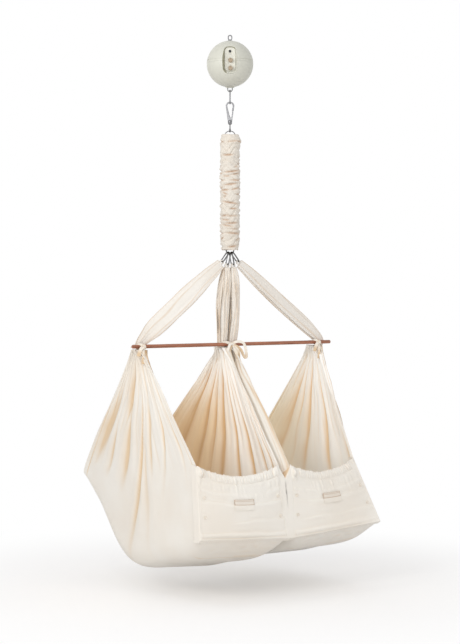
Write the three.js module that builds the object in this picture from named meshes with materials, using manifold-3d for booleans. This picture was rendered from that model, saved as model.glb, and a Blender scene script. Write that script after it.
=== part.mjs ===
// Hanging twin baby cradle: a motor ball, a chain of hooks, a covered spring, a spreader bar and
// two cloth slings. Millimetres, +Z up, X along the spreader bar, the cradle's front towards -Y.
// The origin is the point where a ceiling hook bears inside the top eye.

import * as THREE from 'three';
import { mergeVertices } from 'three/addons/utils/BufferGeometryUtils.js';
import Module from 'manifold-3d';

const wasm = await Module();
wasm.setup();

// Clearances shared by the whole part

const seatGap = 0.3;
const hangGap = 0.5;
const runningGap = 0.35;
const cutOverrun = 2;

// Roundness: how many flat sides stand for a circle

const ballSides = 32;
const ballRows = 16;
const ballInnerSides = 18;
const ballInnerRows = 10;
const bossSides = 24;
const rodSides = 20;
const holeSides = 16;
const knobSides = 18;
const coilSides = 5;
const wireSides = 8;
const clipWireSides = 6;
const coilSteps = 8;
const ringSteps = 22;
const cornerSteps = 4;
const bowSteps = 12;
const clipBendSteps = 8;

// Motor ball and what it holds

const motorTurn = THREE.MathUtils.degToRad(-35);
const ballRadius = 78.5;
const housingWall = 3;
const seamHeight = 8;
const bandSetback = 0.6;
const bandWall = 2.6;
const grooveRise = 7;
const grooveWidth = 1;
const grooveDepth = 0.8;
const eyeHoleHalfWidth = 4;
const eyeHoleStraight = 4;
const eyeWireRadius = 2;
const shankRadius = 3;
const shankLength = 46;
const topBossRadius = 8;
const nutHalfWidth = 6;
const nutHeight = 5;

const recessWidth = 44;
const recessHeight = 85;
const recessCornerRadius = 14;
const recessRise = 9.5;
const recessFloorDepth = 24.5;
const recessWall = 2;
const panelThickness = 1.6;
const inletRise = 36;
const inletHoleRadius = 3.8;
const inletBarrelRadius = 4.6;
const inletFlangeRadius = 6.2;
const inletFlangeThickness = 1.2;
const inletHoleDepth = 9;
const inletPinRadius = 1;
const inletPinLength = 2;
const speedKnobRise = 6;
const strengthKnobRise = -20.4;
const knobSide = 1.5;
const knobRadius = 8.2;
const knobHeight = 9;
const knobTaper = 0.9;
const knobFluteRadius = 1.2;
const knobFluteCount = 6;
const knobShaftRadius = 3;
const potWidth = 16;
const potDepth = 7;
const potSocketDepth = 4;
const boardThickness = 1.6;
const boardMargin = 4;

const chassisPlate = 3;
const chassisHalfWidth = 12;
const chassisDepth = 44;
const chassisTopDrop = 32;
const chassisHeight = 46;
const drumRadius = 10.2;
const drumFlangeRadius = 15.5;
const drumFlangeThickness = 1.5;
const drumAxleRadius = 3;
const drumAxleReach = 4;
const drumRise = 5;
const motorRadius = 16;
const motorLength = 30;
const gearboxRadius = 17.5;
const gearboxLength = 14;
const strapWidth = 10;
const strapThickness = 1.6;
const loopWireRadius = 1.75;
const loopCornerRadius = 1.2 * loopWireRadius;
const loopHalfWidth = 7.75;
const loopReachOut = 14.75;
const loopReachIn = 15.5;
const guideWall = 2;
const guideFlange = 1.6;
const guideFlangeThickness = 1.5;
const guideLength = 8;
const guideClearance = 1.5;
const slotFlat = 0.05;

// Chain between the motor and the spring

const linkLength = 50;
const linkWidth = 24;
const linkWireRadius = 2.2;
const linkGateLength = 20;
const gatePinShare = 0.85;
const hookBowRadius = 14.5;
const hookBarWidth = 4.4;
const hookThickness = 5;
const hookBevel = 0.8;
const hookBaseWidth = 13.5;
const hookTaperLength = 55;
const hookWebRise = 12;
const hookWebInset = 4;
const hookBarrelRadius = 6.7;
const hookBarrelLength = 15;
const hookGateLength = 21;
const hookGateRadius = 1.9;
const stemRadius = 2;
const stemHeadRadius = 3.6;
const stemHeadHeight = 3;
const stemLength = 18;
const swivelEyeRadius = 5.2;
const swivelEyeWireRadius = 1.6;
const swivelEyeTurn = THREE.MathUtils.degToRad(72);
const topRingRadius = 18.5;
const topRingWireRadius = 1.5;

// Spring and its gathered cover

const springRadius = 15;
const springWireRadius = 2;
const springTurns = 20;
const springHookRadius = 9;
const springHookRise = 12;
const springHookTurn = THREE.MathUtils.degToRad(240);
const springHookStart = THREE.MathUtils.degToRad(-60);
const springBodyLength = 314;
const coverTopDrop = 13;
const coverEndDrop = 0.5;
const coverRadius = 34.6;
const coverMouthRadius = 24;
const coverInnerRadius = 29.5;
const coverRuffle = 2.4;
const coverFoldInset = 46;
const coverHemThickness = 5;
const coverSides = 18;
const coverRows = 22;
const coverShoulderShare = 0.125;
const coverRuffleEvenness = 0.55;
const coverRuffleWaves = 3;
const coverRuffleStep = 1.7;

// Lower ring and its four carabiners

const bottomRingRadius = 16;
const bottomRingWireRadius = 2;
const clipLength = 46;
const clipWidth = 22;
const clipWireRadius = 2;
const clipGateLength = 18;
const clipFanStep = THREE.MathUtils.degToRad(26);
const clipCount = 4;

// Spreader bar, straps and ties

const barRadius = 6.25;
const barLength = 816;
const barShift = 20;
const barDrop = 281;
const barTipRound = 1.6;
const tieLeftInset = 38;
const tieRightInset = 56;
const centreTieHalf = 20;
const centreTieWidth = 36;
const strapLoopRadius = 6.4;
const strapLoopThickness = 3.2;
const strapLoopWidth = 9;
const strapFlatWidth = 84;
const strapFlatThickness = 13;
const strapNeckWidth = 18;
const strapNeckThickness = 11;
const strapFootWidth = 42;
const strapFootThickness = 18;
const strapCentreWidth = 40;
const strapCentreThickness = 42;
const strapCentreBelly = 7;
const strapOpenShare = 0.88;
const strapFoldDepth = 2.4;
const strapSides = 12;
const strapOpenPower = 0.7;
const strapStationShares = [0, 0.07, 0.18, 0.34, 0.52, 0.7, 0.86, 0.95, 1];
const strapLean = THREE.MathUtils.degToRad(25);
const tapeWidth = 9;
const tapeThickness = 1.4;
const turnTapeWidth = 7.2;
const tailTapeWidth = 8.1;
const tapeOverTurn = THREE.MathUtils.degToRad(125);
const tapeOverSteps = 5;
const tapeSlantShare = 0.4;
const tapeLiftTurn = THREE.MathUtils.degToRad(8);
const knotSides = 10;
const knotRows = 6;
const knotDepthShare = 0.7;
const knotHeightShare = 0.85;
const tailSetBack = 2.1;
const tailBendShare = 0.85;
const tailTurnShare = 0.1;
const knotRadius = 7;
const bowLoopLength = 34;
const bowLoopHalfHeight = 9;
const smallBowShare = 0.75;
const bowDirection = [0.55, -0.6, -0.58];
const smallBowDirection = [-0.7, -0.65, -0.25];
const tapeTailLength = 62;
const shortTailShare = 0.5;
const longTailShare = 0.8;
const bowTailShare = 1.2;
const tailSpread = 15.3;
const bowTailSpread = 4.95;

// Cloth slings

const clothThickness = 2.4;
const neckDrop = 11;
const neckSpread = 56;
const neckFold = 7;
const rimFold = 4.5;
const foldCount = 4;
const foldPhase = 0.6;
const foldFadeStart = 0.6;
const slingStations = 15;
const wallSteps = 6;
const sideSteps = 3;
const bedSteps = 6;
const slingDepthFront = 340;
const slingDepthBack = 398;
const frontRimDrop = 379;
const backRimDrop = 444;
const frontPanelHeight = 235;
const bottomLowestDrop = 745;
const backDrawIn = 96;
const wallBulge = 14;
const frontCornerCut = 14;
const wallCornerCut = 150;
const bedCornerCut = 70;
const cornerCutLimit = 0.48;
const hemHeight = 30;
const hemThickness = 6;
const hemSag = 34;
const hemSagPower = 0.8;
const hemPleatShare = 0.3;
const panelRowShares = [0, 0.05, 0.1, 0.14, 0.3, 0.5, 0.7, 0.86, 1];
const panelColumns = 12;
const panelSetOff = 1.1;
const panelBulge = 16;
const panelBulgeStart = 0.1;
const rightPanelSlant = 70;
const rightPanelDrawIn = 60;
const rightPanelLift = 25;
const rightBedRise = 24;

// Mattresses, buttons and labels

const mattressThickness = 28;
const mattressSide = 50;
const mattressCrown = 8;
const mattressRest = 2.4;
const mattressEndShare = 0.55;
const mattressSides = 16;
const mattressSidePower = 0.35;
const mattressTopPower = 0.6;
const mattressStationShares = [0.14, 0.21, 0.29, 0.37, 0.45, 0.53, 0.61, 0.685, 0.75];
const mattressAimStep = 0.02;
const buttonRadius = 5.6;
const buttonThickness = 2.6;
const buttonDish = 0.9;
const buttonSides = 10;
const buttonWallShare = 0.7;
const buttonRimShare = 0.8;
const buttonDishShare = 0.5;
const buttonPlaceShares = [[0.06, 0.4], [0.06, 0.68], [0.94, 0.4], [0.94, 0.68]];
const labelWidth = 76;
const labelHeight = 40;
const labelThickness = 1;
const labelCornerRadius = 3;
const labelPlaceShares = [0.5, 0.45];

// Heights worked out from the sizes above

const eyeWireTop = eyeWireRadius;
const eyeCentreZ = eyeWireTop - (eyeHoleHalfWidth + eyeWireRadius) - eyeHoleStraight / 2;
const eyeBottomZ = eyeCentreZ - eyeHoleStraight / 2 - eyeHoleHalfWidth - 2 * eyeWireRadius;
const ballTopZ = eyeBottomZ - seatGap;
const ballCentreZ = ballTopZ - ballRadius;
const ballBottomZ = ballCentreZ - ballRadius;
const recessFloorY = -(ballRadius - recessFloorDepth);
const recessCentreZ = ballCentreZ + recessRise;
const chassisTopZ = ballTopZ - chassisTopDrop;
const drumY = drumRadius + runningGap + strapThickness / 2;
const drumZ = ballCentreZ + drumRise;
const loopBarTopZ = ballBottomZ + loopReachIn;
const loopBarBottomZ = ballBottomZ - loopReachOut;
const linkTopZ = loopBarBottomZ + loopWireRadius + linkWireRadius + hangGap;
const linkBottomZ = linkTopZ - (linkLength - 2 * linkWireRadius);
const hookTopZ = linkBottomZ + linkWireRadius + hookBarWidth / 2 + hangGap;
const hookBowZ = hookTopZ + hookBarWidth / 2 - hookBowRadius;
const hookBaseZ = hookBowZ - hookTaperLength;
const hookEndZ = hookBaseZ - hookBarrelLength / 2;
const swivelEyeZ = hookEndZ - stemLength + stemHeadHeight - swivelEyeRadius;
const topRingTopZ = swivelEyeZ - swivelEyeRadius + swivelEyeWireRadius + topRingWireRadius + hangGap;
const topRingZ = topRingTopZ - topRingRadius;
const springHookTopZ = topRingZ - topRingRadius + topRingWireRadius + springWireRadius + hangGap;
const springBodyTopZ = springHookTopZ - springHookRadius - springHookRise;
const springBodyBottomZ = springBodyTopZ - springBodyLength;
const springHookBottomZ = springBodyBottomZ - springHookRise - springHookRadius;
const bottomRingTopZ = springHookBottomZ + springWireRadius + bottomRingWireRadius + hangGap;
const bottomRingZ = bottomRingTopZ - bottomRingRadius;
const coverTopZ = topRingTopZ - coverTopDrop;
const coverLength = coverTopZ - bottomRingZ + coverEndDrop;
const clipStart = bottomRingRadius - bottomRingWireRadius - clipWireRadius - hangGap;
const clipEnd = clipStart + clipLength - 2 * clipWireRadius;
const barZ = bottomRingZ - bottomRingRadius - barDrop - clipLength / 2;
const barLeftX = barShift - barLength / 2;
const barRightX = barShift + barLength / 2;
const tieLeftX = barLeftX + tieLeftInset;
const tieRightX = barRightX - tieRightInset;
const bundleY = barRadius + seatGap + strapFootThickness / 2 + seatGap;
const neckZ = barZ - neckDrop;

// Materials

function finish(color, roughness, metalness) {
  return new THREE.MeshStandardMaterial({ color, roughness, metalness });
}

const shellPlastic = finish(0xdedfd8, 0.45, 0);
const bandPlastic = finish(0xcfd0c8, 0.55, 0);
const knobPlastic = finish(0xb9ada4, 0.5, 0);
const darkPlastic = finish(0x2b2b2b, 0.5, 0);
const boardGreen = finish(0x2f5b40, 0.6, 0);
const steel = finish(0x8d8f92, 0.3, 1);
const darkSteel = finish(0x55575a, 0.35, 1);
const webbing = finish(0x3a3a3c, 0.8, 0);
const cotton = finish(0xece4d8, 0.9, 0);
const tape = finish(0xe8dcc8, 0.9, 0);
const paddedCotton = finish(0xf0eade, 0.9, 0);
const buttonShell = finish(0xe9e0d2, 0.35, 0);
const reddishWood = finish(0x8a4a30, 0.5, 0);

// Geometry helpers

function toSolid(geometry) {
  const bare = geometry.clone();
  bare.deleteAttribute('normal');
  bare.deleteAttribute('uv');
  const merged = mergeVertices(bare, 1e-4);
  return new wasm.Manifold(new wasm.Mesh({
    numProp: 3,
    vertProperties: new Float32Array(merged.attributes.position.array),
    triVerts: new Uint32Array(merged.index.array),
  }));
}

function toGeometry(solid) {
  const mesh = solid.getMesh();
  const geometry = new THREE.BufferGeometry();
  geometry.setAttribute(
    'position',
    new THREE.BufferAttribute(new Float32Array(mesh.vertProperties), 3),
  );
  geometry.setIndex(new THREE.BufferAttribute(new Uint32Array(mesh.triVerts), 1));
  return geometry;
}

function join(...geometries) {
  return toGeometry(geometries.map(toSolid).reduce((all, one) => all.add(one)));
}

function cut(geometry, ...tools) {
  return toGeometry(tools.map(toSolid).reduce((rest, tool) => rest.subtract(tool), toSolid(geometry)));
}

function common(first, second) {
  return toGeometry(toSolid(first).intersect(toSolid(second)));
}

function box(x0, x1, y0, y1, z0, z1) {
  const geometry = new THREE.BoxGeometry(x1 - x0, y1 - y0, z1 - z0);
  return geometry.translate((x0 + x1) / 2, (y0 + y1) / 2, (z0 + z1) / 2);
}

// A round bar from start to end.
function rod(start, end, radius, sides = rodSides, endRadius = radius) {
  const axis = new THREE.Vector3().subVectors(end, start);
  const geometry = new THREE.CylinderGeometry(endRadius, radius, axis.length(), sides);
  const turn = new THREE.Quaternion().setFromUnitVectors(
    new THREE.Vector3(0, 1, 0),
    axis.clone().normalize(),
  );
  geometry.applyQuaternion(turn);
  const middle = new THREE.Vector3().addVectors(start, end).multiplyScalar(1 / 2);
  return geometry.translate(middle.x, middle.y, middle.z);
}

// A pin with round ends, whose end centres are start and end.
function pin(start, end, radius) {
  const axis = new THREE.Vector3().subVectors(end, start);
  const geometry = new THREE.CapsuleGeometry(radius, axis.length(), 2, 8);
  const turn = new THREE.Quaternion().setFromUnitVectors(
    new THREE.Vector3(0, 1, 0),
    axis.clone().normalize(),
  );
  geometry.applyQuaternion(turn);
  const middle = new THREE.Vector3().addVectors(start, end).multiplyScalar(1 / 2);
  return geometry.translate(middle.x, middle.y, middle.z);
}

// A profile of [radius, height] pairs turned about Z.
function turned(profile, sides = ballSides) {
  const points = profile.map(([radius, height]) => new THREE.Vector2(radius, height));
  return new THREE.LatheGeometry(points, sides).rotateX(Math.PI / 2);
}

// A torus in the XZ plane, pulled apart along Z by straight sides.
function link(radius, wireRadius, straight, sides = wireSides, steps = bossSides) {
  const geometry = new THREE.TorusGeometry(radius, wireRadius, sides, steps).rotateX(Math.PI / 2);
  const position = geometry.attributes.position;
  for (let i = 0; i < position.count; i += 1) {
    const side = position.getZ(i) > -wireRadius / 100 ? 1 : -1;
    position.setZ(i, position.getZ(i) + side * straight / 2);
  }
  return geometry;
}

function roundBar(radius, sides) {
  const shape = new THREE.Shape();
  for (let i = 0; i < sides; i += 1) {
    const angle = (i / sides) * 2 * Math.PI;
    const x = radius * Math.cos(angle);
    const y = radius * Math.sin(angle);
    if (i === 0) shape.moveTo(x, y);
    else shape.lineTo(x, y);
  }
  shape.closePath();
  return shape;
}

// A path whose equal steps end on its own points.
class PointPath extends THREE.Curve {
  constructor(points) {
    super();
    this.points = points;
  }

  getPoint(share) {
    const last = this.points.length - 1;
    const place = Math.min(Math.max(share, 0), 1) * last;
    const i = Math.min(Math.floor(place), last - 1);
    return this.points[i].clone().lerp(this.points[i + 1], place - i);
  }

  getPointAt(share) {
    return this.getPoint(share);
  }

  getTangentAt(share) {
    return this.getTangent(share);
  }
}

function wire(points, radius, sides) {
  const extrudePath = new PointPath(points);
  return new THREE.ExtrudeGeometry(roundBar(radius, sides), { steps: points.length - 1, extrudePath });
}

// A closed wire through points of the XZ plane; the last point repeats the first.
function wireLoop(points, radius, sides) {
  const around = points.slice(0, -1);
  const rings = around.map((point, i) => {
    const before = around[(i + around.length - 1) % around.length];
    const after = around[(i + 1) % around.length];
    const tangent = new THREE.Vector3().subVectors(after, before).normalize();
    const across = new THREE.Vector3(0, 1, 0);
    const outward = new THREE.Vector3().crossVectors(tangent, across);
    const ringPoints = [];
    for (let j = 0; j < sides; j += 1) {
      const angle = (j / sides) * 2 * Math.PI;
      const offset = outward.clone().multiplyScalar(Math.cos(angle)).addScaledVector(
        across,
        Math.sin(angle),
      );
      ringPoints.push(point.clone().addScaledVector(offset, radius));
    }
    return ringPoints;
  });
  return skin(rings, true);
}

function roundedRectangle(width, height, radius) {
  const shape = new THREE.Shape();
  const x = width / 2 - radius;
  const y = height / 2 - radius;
  shape.absarc(x, y, radius, 0, Math.PI / 2);
  shape.absarc(-x, y, radius, Math.PI / 2, Math.PI);
  shape.absarc(-x, -y, radius, Math.PI, 3 * Math.PI / 2);
  shape.absarc(x, -y, radius, 3 * Math.PI / 2, 2 * Math.PI);
  return shape;
}

// A plate whose outline is drawn in the XZ plane, from y0 to y1.
function plate(shape, y0, y1, centreX, centreZ, curveSegments = 6) {
  const geometry = new THREE.ExtrudeGeometry(
    shape,
    { depth: y1 - y0, bevelEnabled: false, curveSegments },
  );
  geometry.rotateX(Math.PI / 2);
  return geometry.translate(centreX, y1, centreZ);
}

// A closed skin over a grid of rings; each ring has the same number of points.
function skin(rings, ringsClose) {
  const count = rings[0].length;
  const positions = [];
  const index = [];
  for (const ring of rings) {
    for (const point of ring) positions.push(point.x, point.y, point.z);
  }
  const spans = ringsClose ? rings.length : rings.length - 1;
  for (let r = 0; r < spans; r += 1) {
    const here = r * count;
    const next = ((r + 1) % rings.length) * count;
    for (let i = 0; i < count; i += 1) {
      const j = (i + 1) % count;
      index.push(here + i, here + j, next + j);
      index.push(here + i, next + j, next + i);
    }
  }
  if (!ringsClose) {
    for (const [ring, turn] of [[0, 1], [rings.length - 1, -1]]) {
      const centre = new THREE.Vector3();
      for (const point of rings[ring]) centre.add(point);
      centre.multiplyScalar(1 / count);
      const apex = positions.length / 3;
      positions.push(centre.x, centre.y, centre.z);
      for (let i = 0; i < count; i += 1) {
        const a = ring * count + i;
        const b = ring * count + ((i + 1) % count);
        if (turn > 0) index.push(apex, b, a);
        else index.push(apex, a, b);
      }
    }
  }
  const geometry = new THREE.BufferGeometry();
  geometry.setAttribute('position', new THREE.Float32BufferAttribute(positions, 3));
  geometry.setIndex(index);
  return facingOut(geometry);
}

// Turns every triangle round if the closed skin has a negative volume.
function facingOut(geometry) {
  const position = geometry.attributes.position;
  const index = geometry.index.array;
  const a = new THREE.Vector3();
  const b = new THREE.Vector3();
  const c = new THREE.Vector3();
  let volume = 0;
  for (let i = 0; i < index.length; i += 3) {
    a.fromBufferAttribute(position, index[i]);
    b.fromBufferAttribute(position, index[i + 1]);
    c.fromBufferAttribute(position, index[i + 2]);
    volume += a.dot(b.cross(c));
  }
  if (volume < 0) {
    for (let i = 0; i < index.length; i += 3) {
      const swap = index[i + 1];
      index[i + 1] = index[i + 2];
      index[i + 2] = swap;
    }
  }
  return geometry;
}

function at(x, y, z) {
  return new THREE.Vector3(x, y, z);
}

function mesh(name, geometry, material) {
  const piece = new THREE.Mesh(geometry, material);
  piece.name = name;
  return piece;
}

function smooth(share) {
  const held = Math.min(Math.max(share, 0), 1);
  return held * held * (3 - 2 * held);
}

// Motor ball

function hangerEye() {
  const loop = link(eyeHoleHalfWidth + eyeWireRadius, eyeWireRadius, eyeHoleStraight).translate(
    0,
    0,
    eyeCentreZ,
  );
  const shankTop = eyeBottomZ + eyeWireRadius;
  const shank = rod(at(0, 0, shankTop), at(0, 0, shankTop - shankLength), shankRadius);
  return join(loop, shank);
}

function eyeNut() {
  const top = chassisTopZ - chassisPlate - seatGap;
  const nut = new THREE.CylinderGeometry(nutHalfWidth, nutHalfWidth, nutHeight, 6).rotateX(Math.PI / 2);
  nut.translate(0, 0, top - nutHeight / 2);
  const bore = rod(
    at(0, 0, top + cutOverrun),
    at(0, 0, top - nutHeight - cutOverrun),
    shankRadius + seatGap,
  );
  return cut(nut, bore);
}

function recessPocket(grow, y0, y1) {
  const shape = roundedRectangle(
    recessWidth + 2 * grow,
    recessHeight + 2 * grow,
    recessCornerRadius + grow,
  );
  return plate(shape, y0, y1, 0, recessCentreZ, 4);
}

function recessTub() {
  const block = recessPocket(recessWall, -ballRadius, recessFloorY + recessWall);
  const ball = new THREE.SphereGeometry(ballRadius, ballSides, ballRows).rotateX(Math.PI / 2).translate(
    0,
    0,
    ballCentreZ,
  );
  return common(block, ball);
}

function frontHole(radius, x, z) {
  return rod(
    at(x, -ballRadius, z),
    at(x, recessFloorY + recessWall + cutOverrun, z),
    radius,
    holeSides,
  );
}

function controlPlaces() {
  return [
    { x: 0, z: ballCentreZ + inletRise, radius: inletBarrelRadius + seatGap },
    { x: knobSide, z: ballCentreZ + speedKnobRise, radius: knobShaftRadius + runningGap },
    { x: knobSide, z: ballCentreZ + strengthKnobRise, radius: knobShaftRadius + runningGap },
  ];
}

function slab(z0, z1) {
  const reach = ballRadius + cutOverrun;
  return box(-reach, reach, -reach, reach, z0, z1);
}

function ballShell() {
  const outside = new THREE.SphereGeometry(ballRadius, ballSides, ballRows).rotateX(Math.PI / 2);
  const innerRadius = ballRadius - housingWall;
  const inside = new THREE.SphereGeometry(innerRadius, ballInnerSides, ballInnerRows).rotateX(Math.PI / 2);
  return cut(outside.translate(0, 0, ballCentreZ), inside.translate(0, 0, ballCentreZ));
}

function housings() {
  const shell = ballShell();
  const tub = recessTub();
  const pocket = recessPocket(0, -ballRadius - cutOverrun, recessFloorY);
  const holes = controlPlaces().map(({ x, z, radius }) => frontHole(radius, x, z));
  const bandTop = ballCentreZ + seamHeight / 2;
  const bandBottom = ballCentreZ - seamHeight / 2;
  const top = ballTopZ + cutOverrun;
  const bottom = ballBottomZ - cutOverrun;
  const boss = rod(
    at(0, 0, ballTopZ - housingWall / 2),
    at(0, 0, chassisTopZ + seatGap),
    topBossRadius,
    bossSides,
  );
  const bore = rod(at(0, 0, top), at(0, 0, chassisTopZ), shankRadius + seatGap);
  const grooveRadius = ballRadius * Math.cos(Math.asin((seamHeight / 2 + grooveRise) / ballRadius));
  const grooveZ = bandTop + grooveRise;
  const groove = turned([
    [grooveRadius - grooveDepth, grooveZ - grooveWidth / 2],
    [grooveRadius + cutOverrun, grooveZ - grooveWidth / 2],
    [grooveRadius + cutOverrun, grooveZ + grooveWidth / 2],
    [grooveRadius - grooveDepth, grooveZ + grooveWidth / 2],
    [grooveRadius - grooveDepth, grooveZ - grooveWidth / 2],
  ]);
  const upperShell = join(common(shell, slab(bandTop, top)), boss);
  const upperTub = common(tub, slab(bandBottom, top));
  const upper = cut(join(upperShell, upperTub), pocket, bore, groove, ...holes);
  const lowerShell = common(shell, slab(bottom, bandBottom - seatGap));
  const lowerTub = common(tub, slab(bottom, bandBottom - seatGap));
  const guideSlot = loopSlot(
    guideClearance + guideWall + seatGap,
    bottom,
    ballBottomZ + guideLength + cutOverrun,
  );
  const lower = cut(join(lowerShell, lowerTub), pocket, guideSlot, ...holes);
  return { upper, lower };
}

function seamBand() {
  const outer = ballRadius - bandSetback;
  const inner = outer - bandWall;
  const top = ballCentreZ + seamHeight / 2 - seatGap;
  const bottom = ballCentreZ - seamHeight / 2;
  const ring = turned([[inner, bottom], [outer, bottom], [outer, top], [inner, top], [inner, bottom]]);
  return cut(
    ring,
    recessPocket(recessWall + seatGap, -ballRadius - cutOverrun, recessFloorY + recessWall + cutOverrun),
  );
}

function controlPanel() {
  const front = recessFloorY - seatGap - panelThickness;
  const panel = recessPocket(-seatGap, front, front + panelThickness);
  return cut(panel, ...controlPlaces().map(({ x, z, radius }) => frontHole(radius, x, z)));
}

function panelFrontY() {
  return recessFloorY - seatGap - panelThickness;
}

function powerInlet() {
  const z = ballCentreZ + inletRise;
  const front = panelFrontY() - seatGap - inletFlangeThickness;
  const floor = front + inletHoleDepth;
  const back = floor + inletPinLength;
  const flange = rod(at(0, front, z), at(0, front + inletFlangeThickness, z), inletFlangeRadius);
  const barrel = rod(at(0, front, z), at(0, back, z), inletBarrelRadius);
  const hole = rod(at(0, front - cutOverrun, z), at(0, floor, z), inletHoleRadius, holeSides);
  const contact = rod(
    at(0, floor - inletPinLength, z),
    at(0, floor + inletPinRadius, z),
    inletPinRadius,
    wireSides,
  );
  return join(cut(join(flange, barrel), hole), contact);
}

function circuitBoard() {
  const potFront = recessFloorY + recessWall + seatGap;
  const boardY = potFront + potDepth;
  const halfWidth = recessWidth / 2 - boardMargin;
  const halfHeight = recessHeight / 2 - boardMargin;
  const low = recessCentreZ - halfHeight;
  let board = box(
    -halfWidth,
    halfWidth,
    boardY,
    boardY + boardThickness,
    low,
    recessCentreZ + halfHeight,
  );
  const cuts = [rod(
    at(0, potFront - cutOverrun, ballCentreZ + inletRise),
    at(0, boardY + boardThickness + cutOverrun, ballCentreZ + inletRise),
    inletBarrelRadius + seatGap,
  )];
  for (const rise of [speedKnobRise, strengthKnobRise]) {
    const z = ballCentreZ + rise;
    const half = potWidth / 2;
    board = join(
      board,
      box(knobSide - half, knobSide + half, potFront, boardY + boardThickness / 2, z - half, z + half),
    );
    cuts.push(rod(
      at(knobSide, potFront - cutOverrun, z),
      at(knobSide, potFront + potSocketDepth + runningGap, z),
      knobShaftRadius + runningGap,
    ));
  }
  return cut(board, ...cuts);
}

function knob(rise) {
  const z = ballCentreZ + rise;
  const back = panelFrontY() - runningGap;
  const front = back - knobHeight;
  const body = rod(
    at(knobSide, back, z),
    at(knobSide, front, z),
    knobRadius,
    knobSides,
    knobRadius * knobTaper,
  );
  const shaft = rod(
    at(knobSide, back - knobHeight / 2, z),
    at(knobSide, recessFloorY + recessWall + potSocketDepth, z),
    knobShaftRadius,
    holeSides,
  );
  const flutes = [];
  for (let i = 0; i < knobFluteCount; i += 1) {
    const angle = ((i + 1 / 2) / knobFluteCount) * 2 * Math.PI;
    const x = knobSide + knobRadius * Math.cos(angle);
    const fluteZ = z + knobRadius * Math.sin(angle);
    flutes.push(rod(
      at(x, back - knobHeight / 4, fluteZ),
      at(x, front - cutOverrun, fluteZ),
      knobFluteRadius,
      clipWireSides,
    ));
  }
  return cut(join(body, shaft), ...flutes);
}

function chassis() {
  const halfDepth = chassisDepth / 2;
  const low = chassisTopZ - chassisHeight;
  const outer = chassisHalfWidth + chassisPlate;
  const top = box(
    -outer,
    outer,
    drumY - halfDepth,
    drumY + halfDepth,
    chassisTopZ - chassisPlate,
    chassisTopZ,
  );
  const cheeks = [-1, 1].map((side) => {
    const near = side * chassisHalfWidth;
    const far = side * outer;
    return box(
      Math.min(near, far),
      Math.max(near, far),
      drumY - halfDepth / 2,
      drumY + halfDepth / 2,
      low,
      chassisTopZ,
    );
  });
  const axle = rod(
    at(-outer - cutOverrun, drumY, drumZ),
    at(outer + cutOverrun, drumY, drumZ),
    drumAxleRadius + runningGap,
  );
  const bore = rod(at(0, 0, chassisTopZ + cutOverrun), at(0, 0, low), shankRadius + seatGap);
  return cut(join(top, ...cheeks), axle, bore);
}

function gearMotor() {
  const start = chassisHalfWidth + chassisPlate + seatGap;
  const gearboxEnd = start + gearboxLength;
  const gearbox = rod(at(start, drumY, drumZ), at(gearboxEnd, drumY, drumZ), gearboxRadius, bossSides);
  const can = rod(
    at(gearboxEnd - seatGap, drumY, drumZ),
    at(gearboxEnd + motorLength, drumY, drumZ),
    motorRadius,
    bossSides,
  );
  const socket = rod(
    at(start - cutOverrun, drumY, drumZ),
    at(start + drumAxleReach + runningGap, drumY, drumZ),
    drumAxleRadius + runningGap,
  );
  return cut(join(gearbox, can), socket);
}

function winchDrum() {
  const half = strapWidth / 2 + runningGap + drumFlangeThickness;
  const axleLeft = chassisHalfWidth + chassisPlate;
  const axleRight = axleLeft + seatGap + drumAxleReach;
  const inner = half - drumFlangeThickness;
  return turned([
    [0, -axleLeft],
    [drumAxleRadius, -axleLeft],
    [drumAxleRadius, -half],
    [drumFlangeRadius, -half],
    [drumFlangeRadius, -inner],
    [drumRadius, -inner],
    [drumRadius, inner],
    [drumFlangeRadius, inner],
    [drumFlangeRadius, half],
    [drumAxleRadius, half],
    [drumAxleRadius, axleRight],
    [0, axleRight],
  ], rodSides).rotateY(Math.PI / 2).translate(0, drumY, drumZ);
}

function liftStrap() {
  const half = strapWidth / 2;
  const loopOuter = loopWireRadius + seatGap + strapThickness;
  const ring = rod(at(-half, 0, loopBarTopZ), at(half, 0, loopBarTopZ), loopOuter);
  const thickness = strapThickness / 2;
  const band = box(-half, half, -thickness, thickness, loopBarTopZ + loopWireRadius + seatGap, drumZ);
  const bore = rod(
    at(-half - cutOverrun, 0, loopBarTopZ),
    at(half + cutOverrun, 0, loopBarTopZ),
    loopWireRadius + seatGap,
  );
  return cut(join(ring, band), bore);
}

// The wire loop's top bar is straight, so the strap can turn round it.
function liftLoop() {
  const turnRadius = loopCornerRadius;
  const side = loopHalfWidth;
  const points = [];
  const corner = side - turnRadius;
  for (let i = 0; i <= cornerSteps; i += 1) {
    const angle = (i / cornerSteps) * (Math.PI / 2);
    points.push(at(
      corner + turnRadius * Math.sin(angle),
      0,
      loopBarTopZ - turnRadius + turnRadius * Math.cos(angle),
    ));
  }
  for (let i = 0; i <= bowSteps; i += 1) {
    const angle = (i / bowSteps) * Math.PI;
    points.push(at(side * Math.cos(angle), 0, loopBarBottomZ + side - side * Math.sin(angle)));
  }
  for (let i = 0; i <= cornerSteps; i += 1) {
    const angle = (i / cornerSteps) * (Math.PI / 2);
    points.push(at(
      -corner - turnRadius * Math.cos(angle),
      0,
      loopBarTopZ - turnRadius + turnRadius * Math.sin(angle),
    ));
  }
  points.push(points[0].clone());
  return wireLoop(points, loopWireRadius, wireSides);
}

function loopSlot(grow, z0, z1) {
  const halfX = loopHalfWidth + loopWireRadius + grow;
  const halfY = loopWireRadius + grow;
  const shape = roundedRectangle(2 * halfX, 2 * halfY, halfY - slotFlat);
  const geometry = new THREE.ExtrudeGeometry(
    shape,
    { depth: z1 - z0, bevelEnabled: false, curveSegments: 3 },
  );
  return geometry.translate(0, 0, z0);
}

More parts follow.
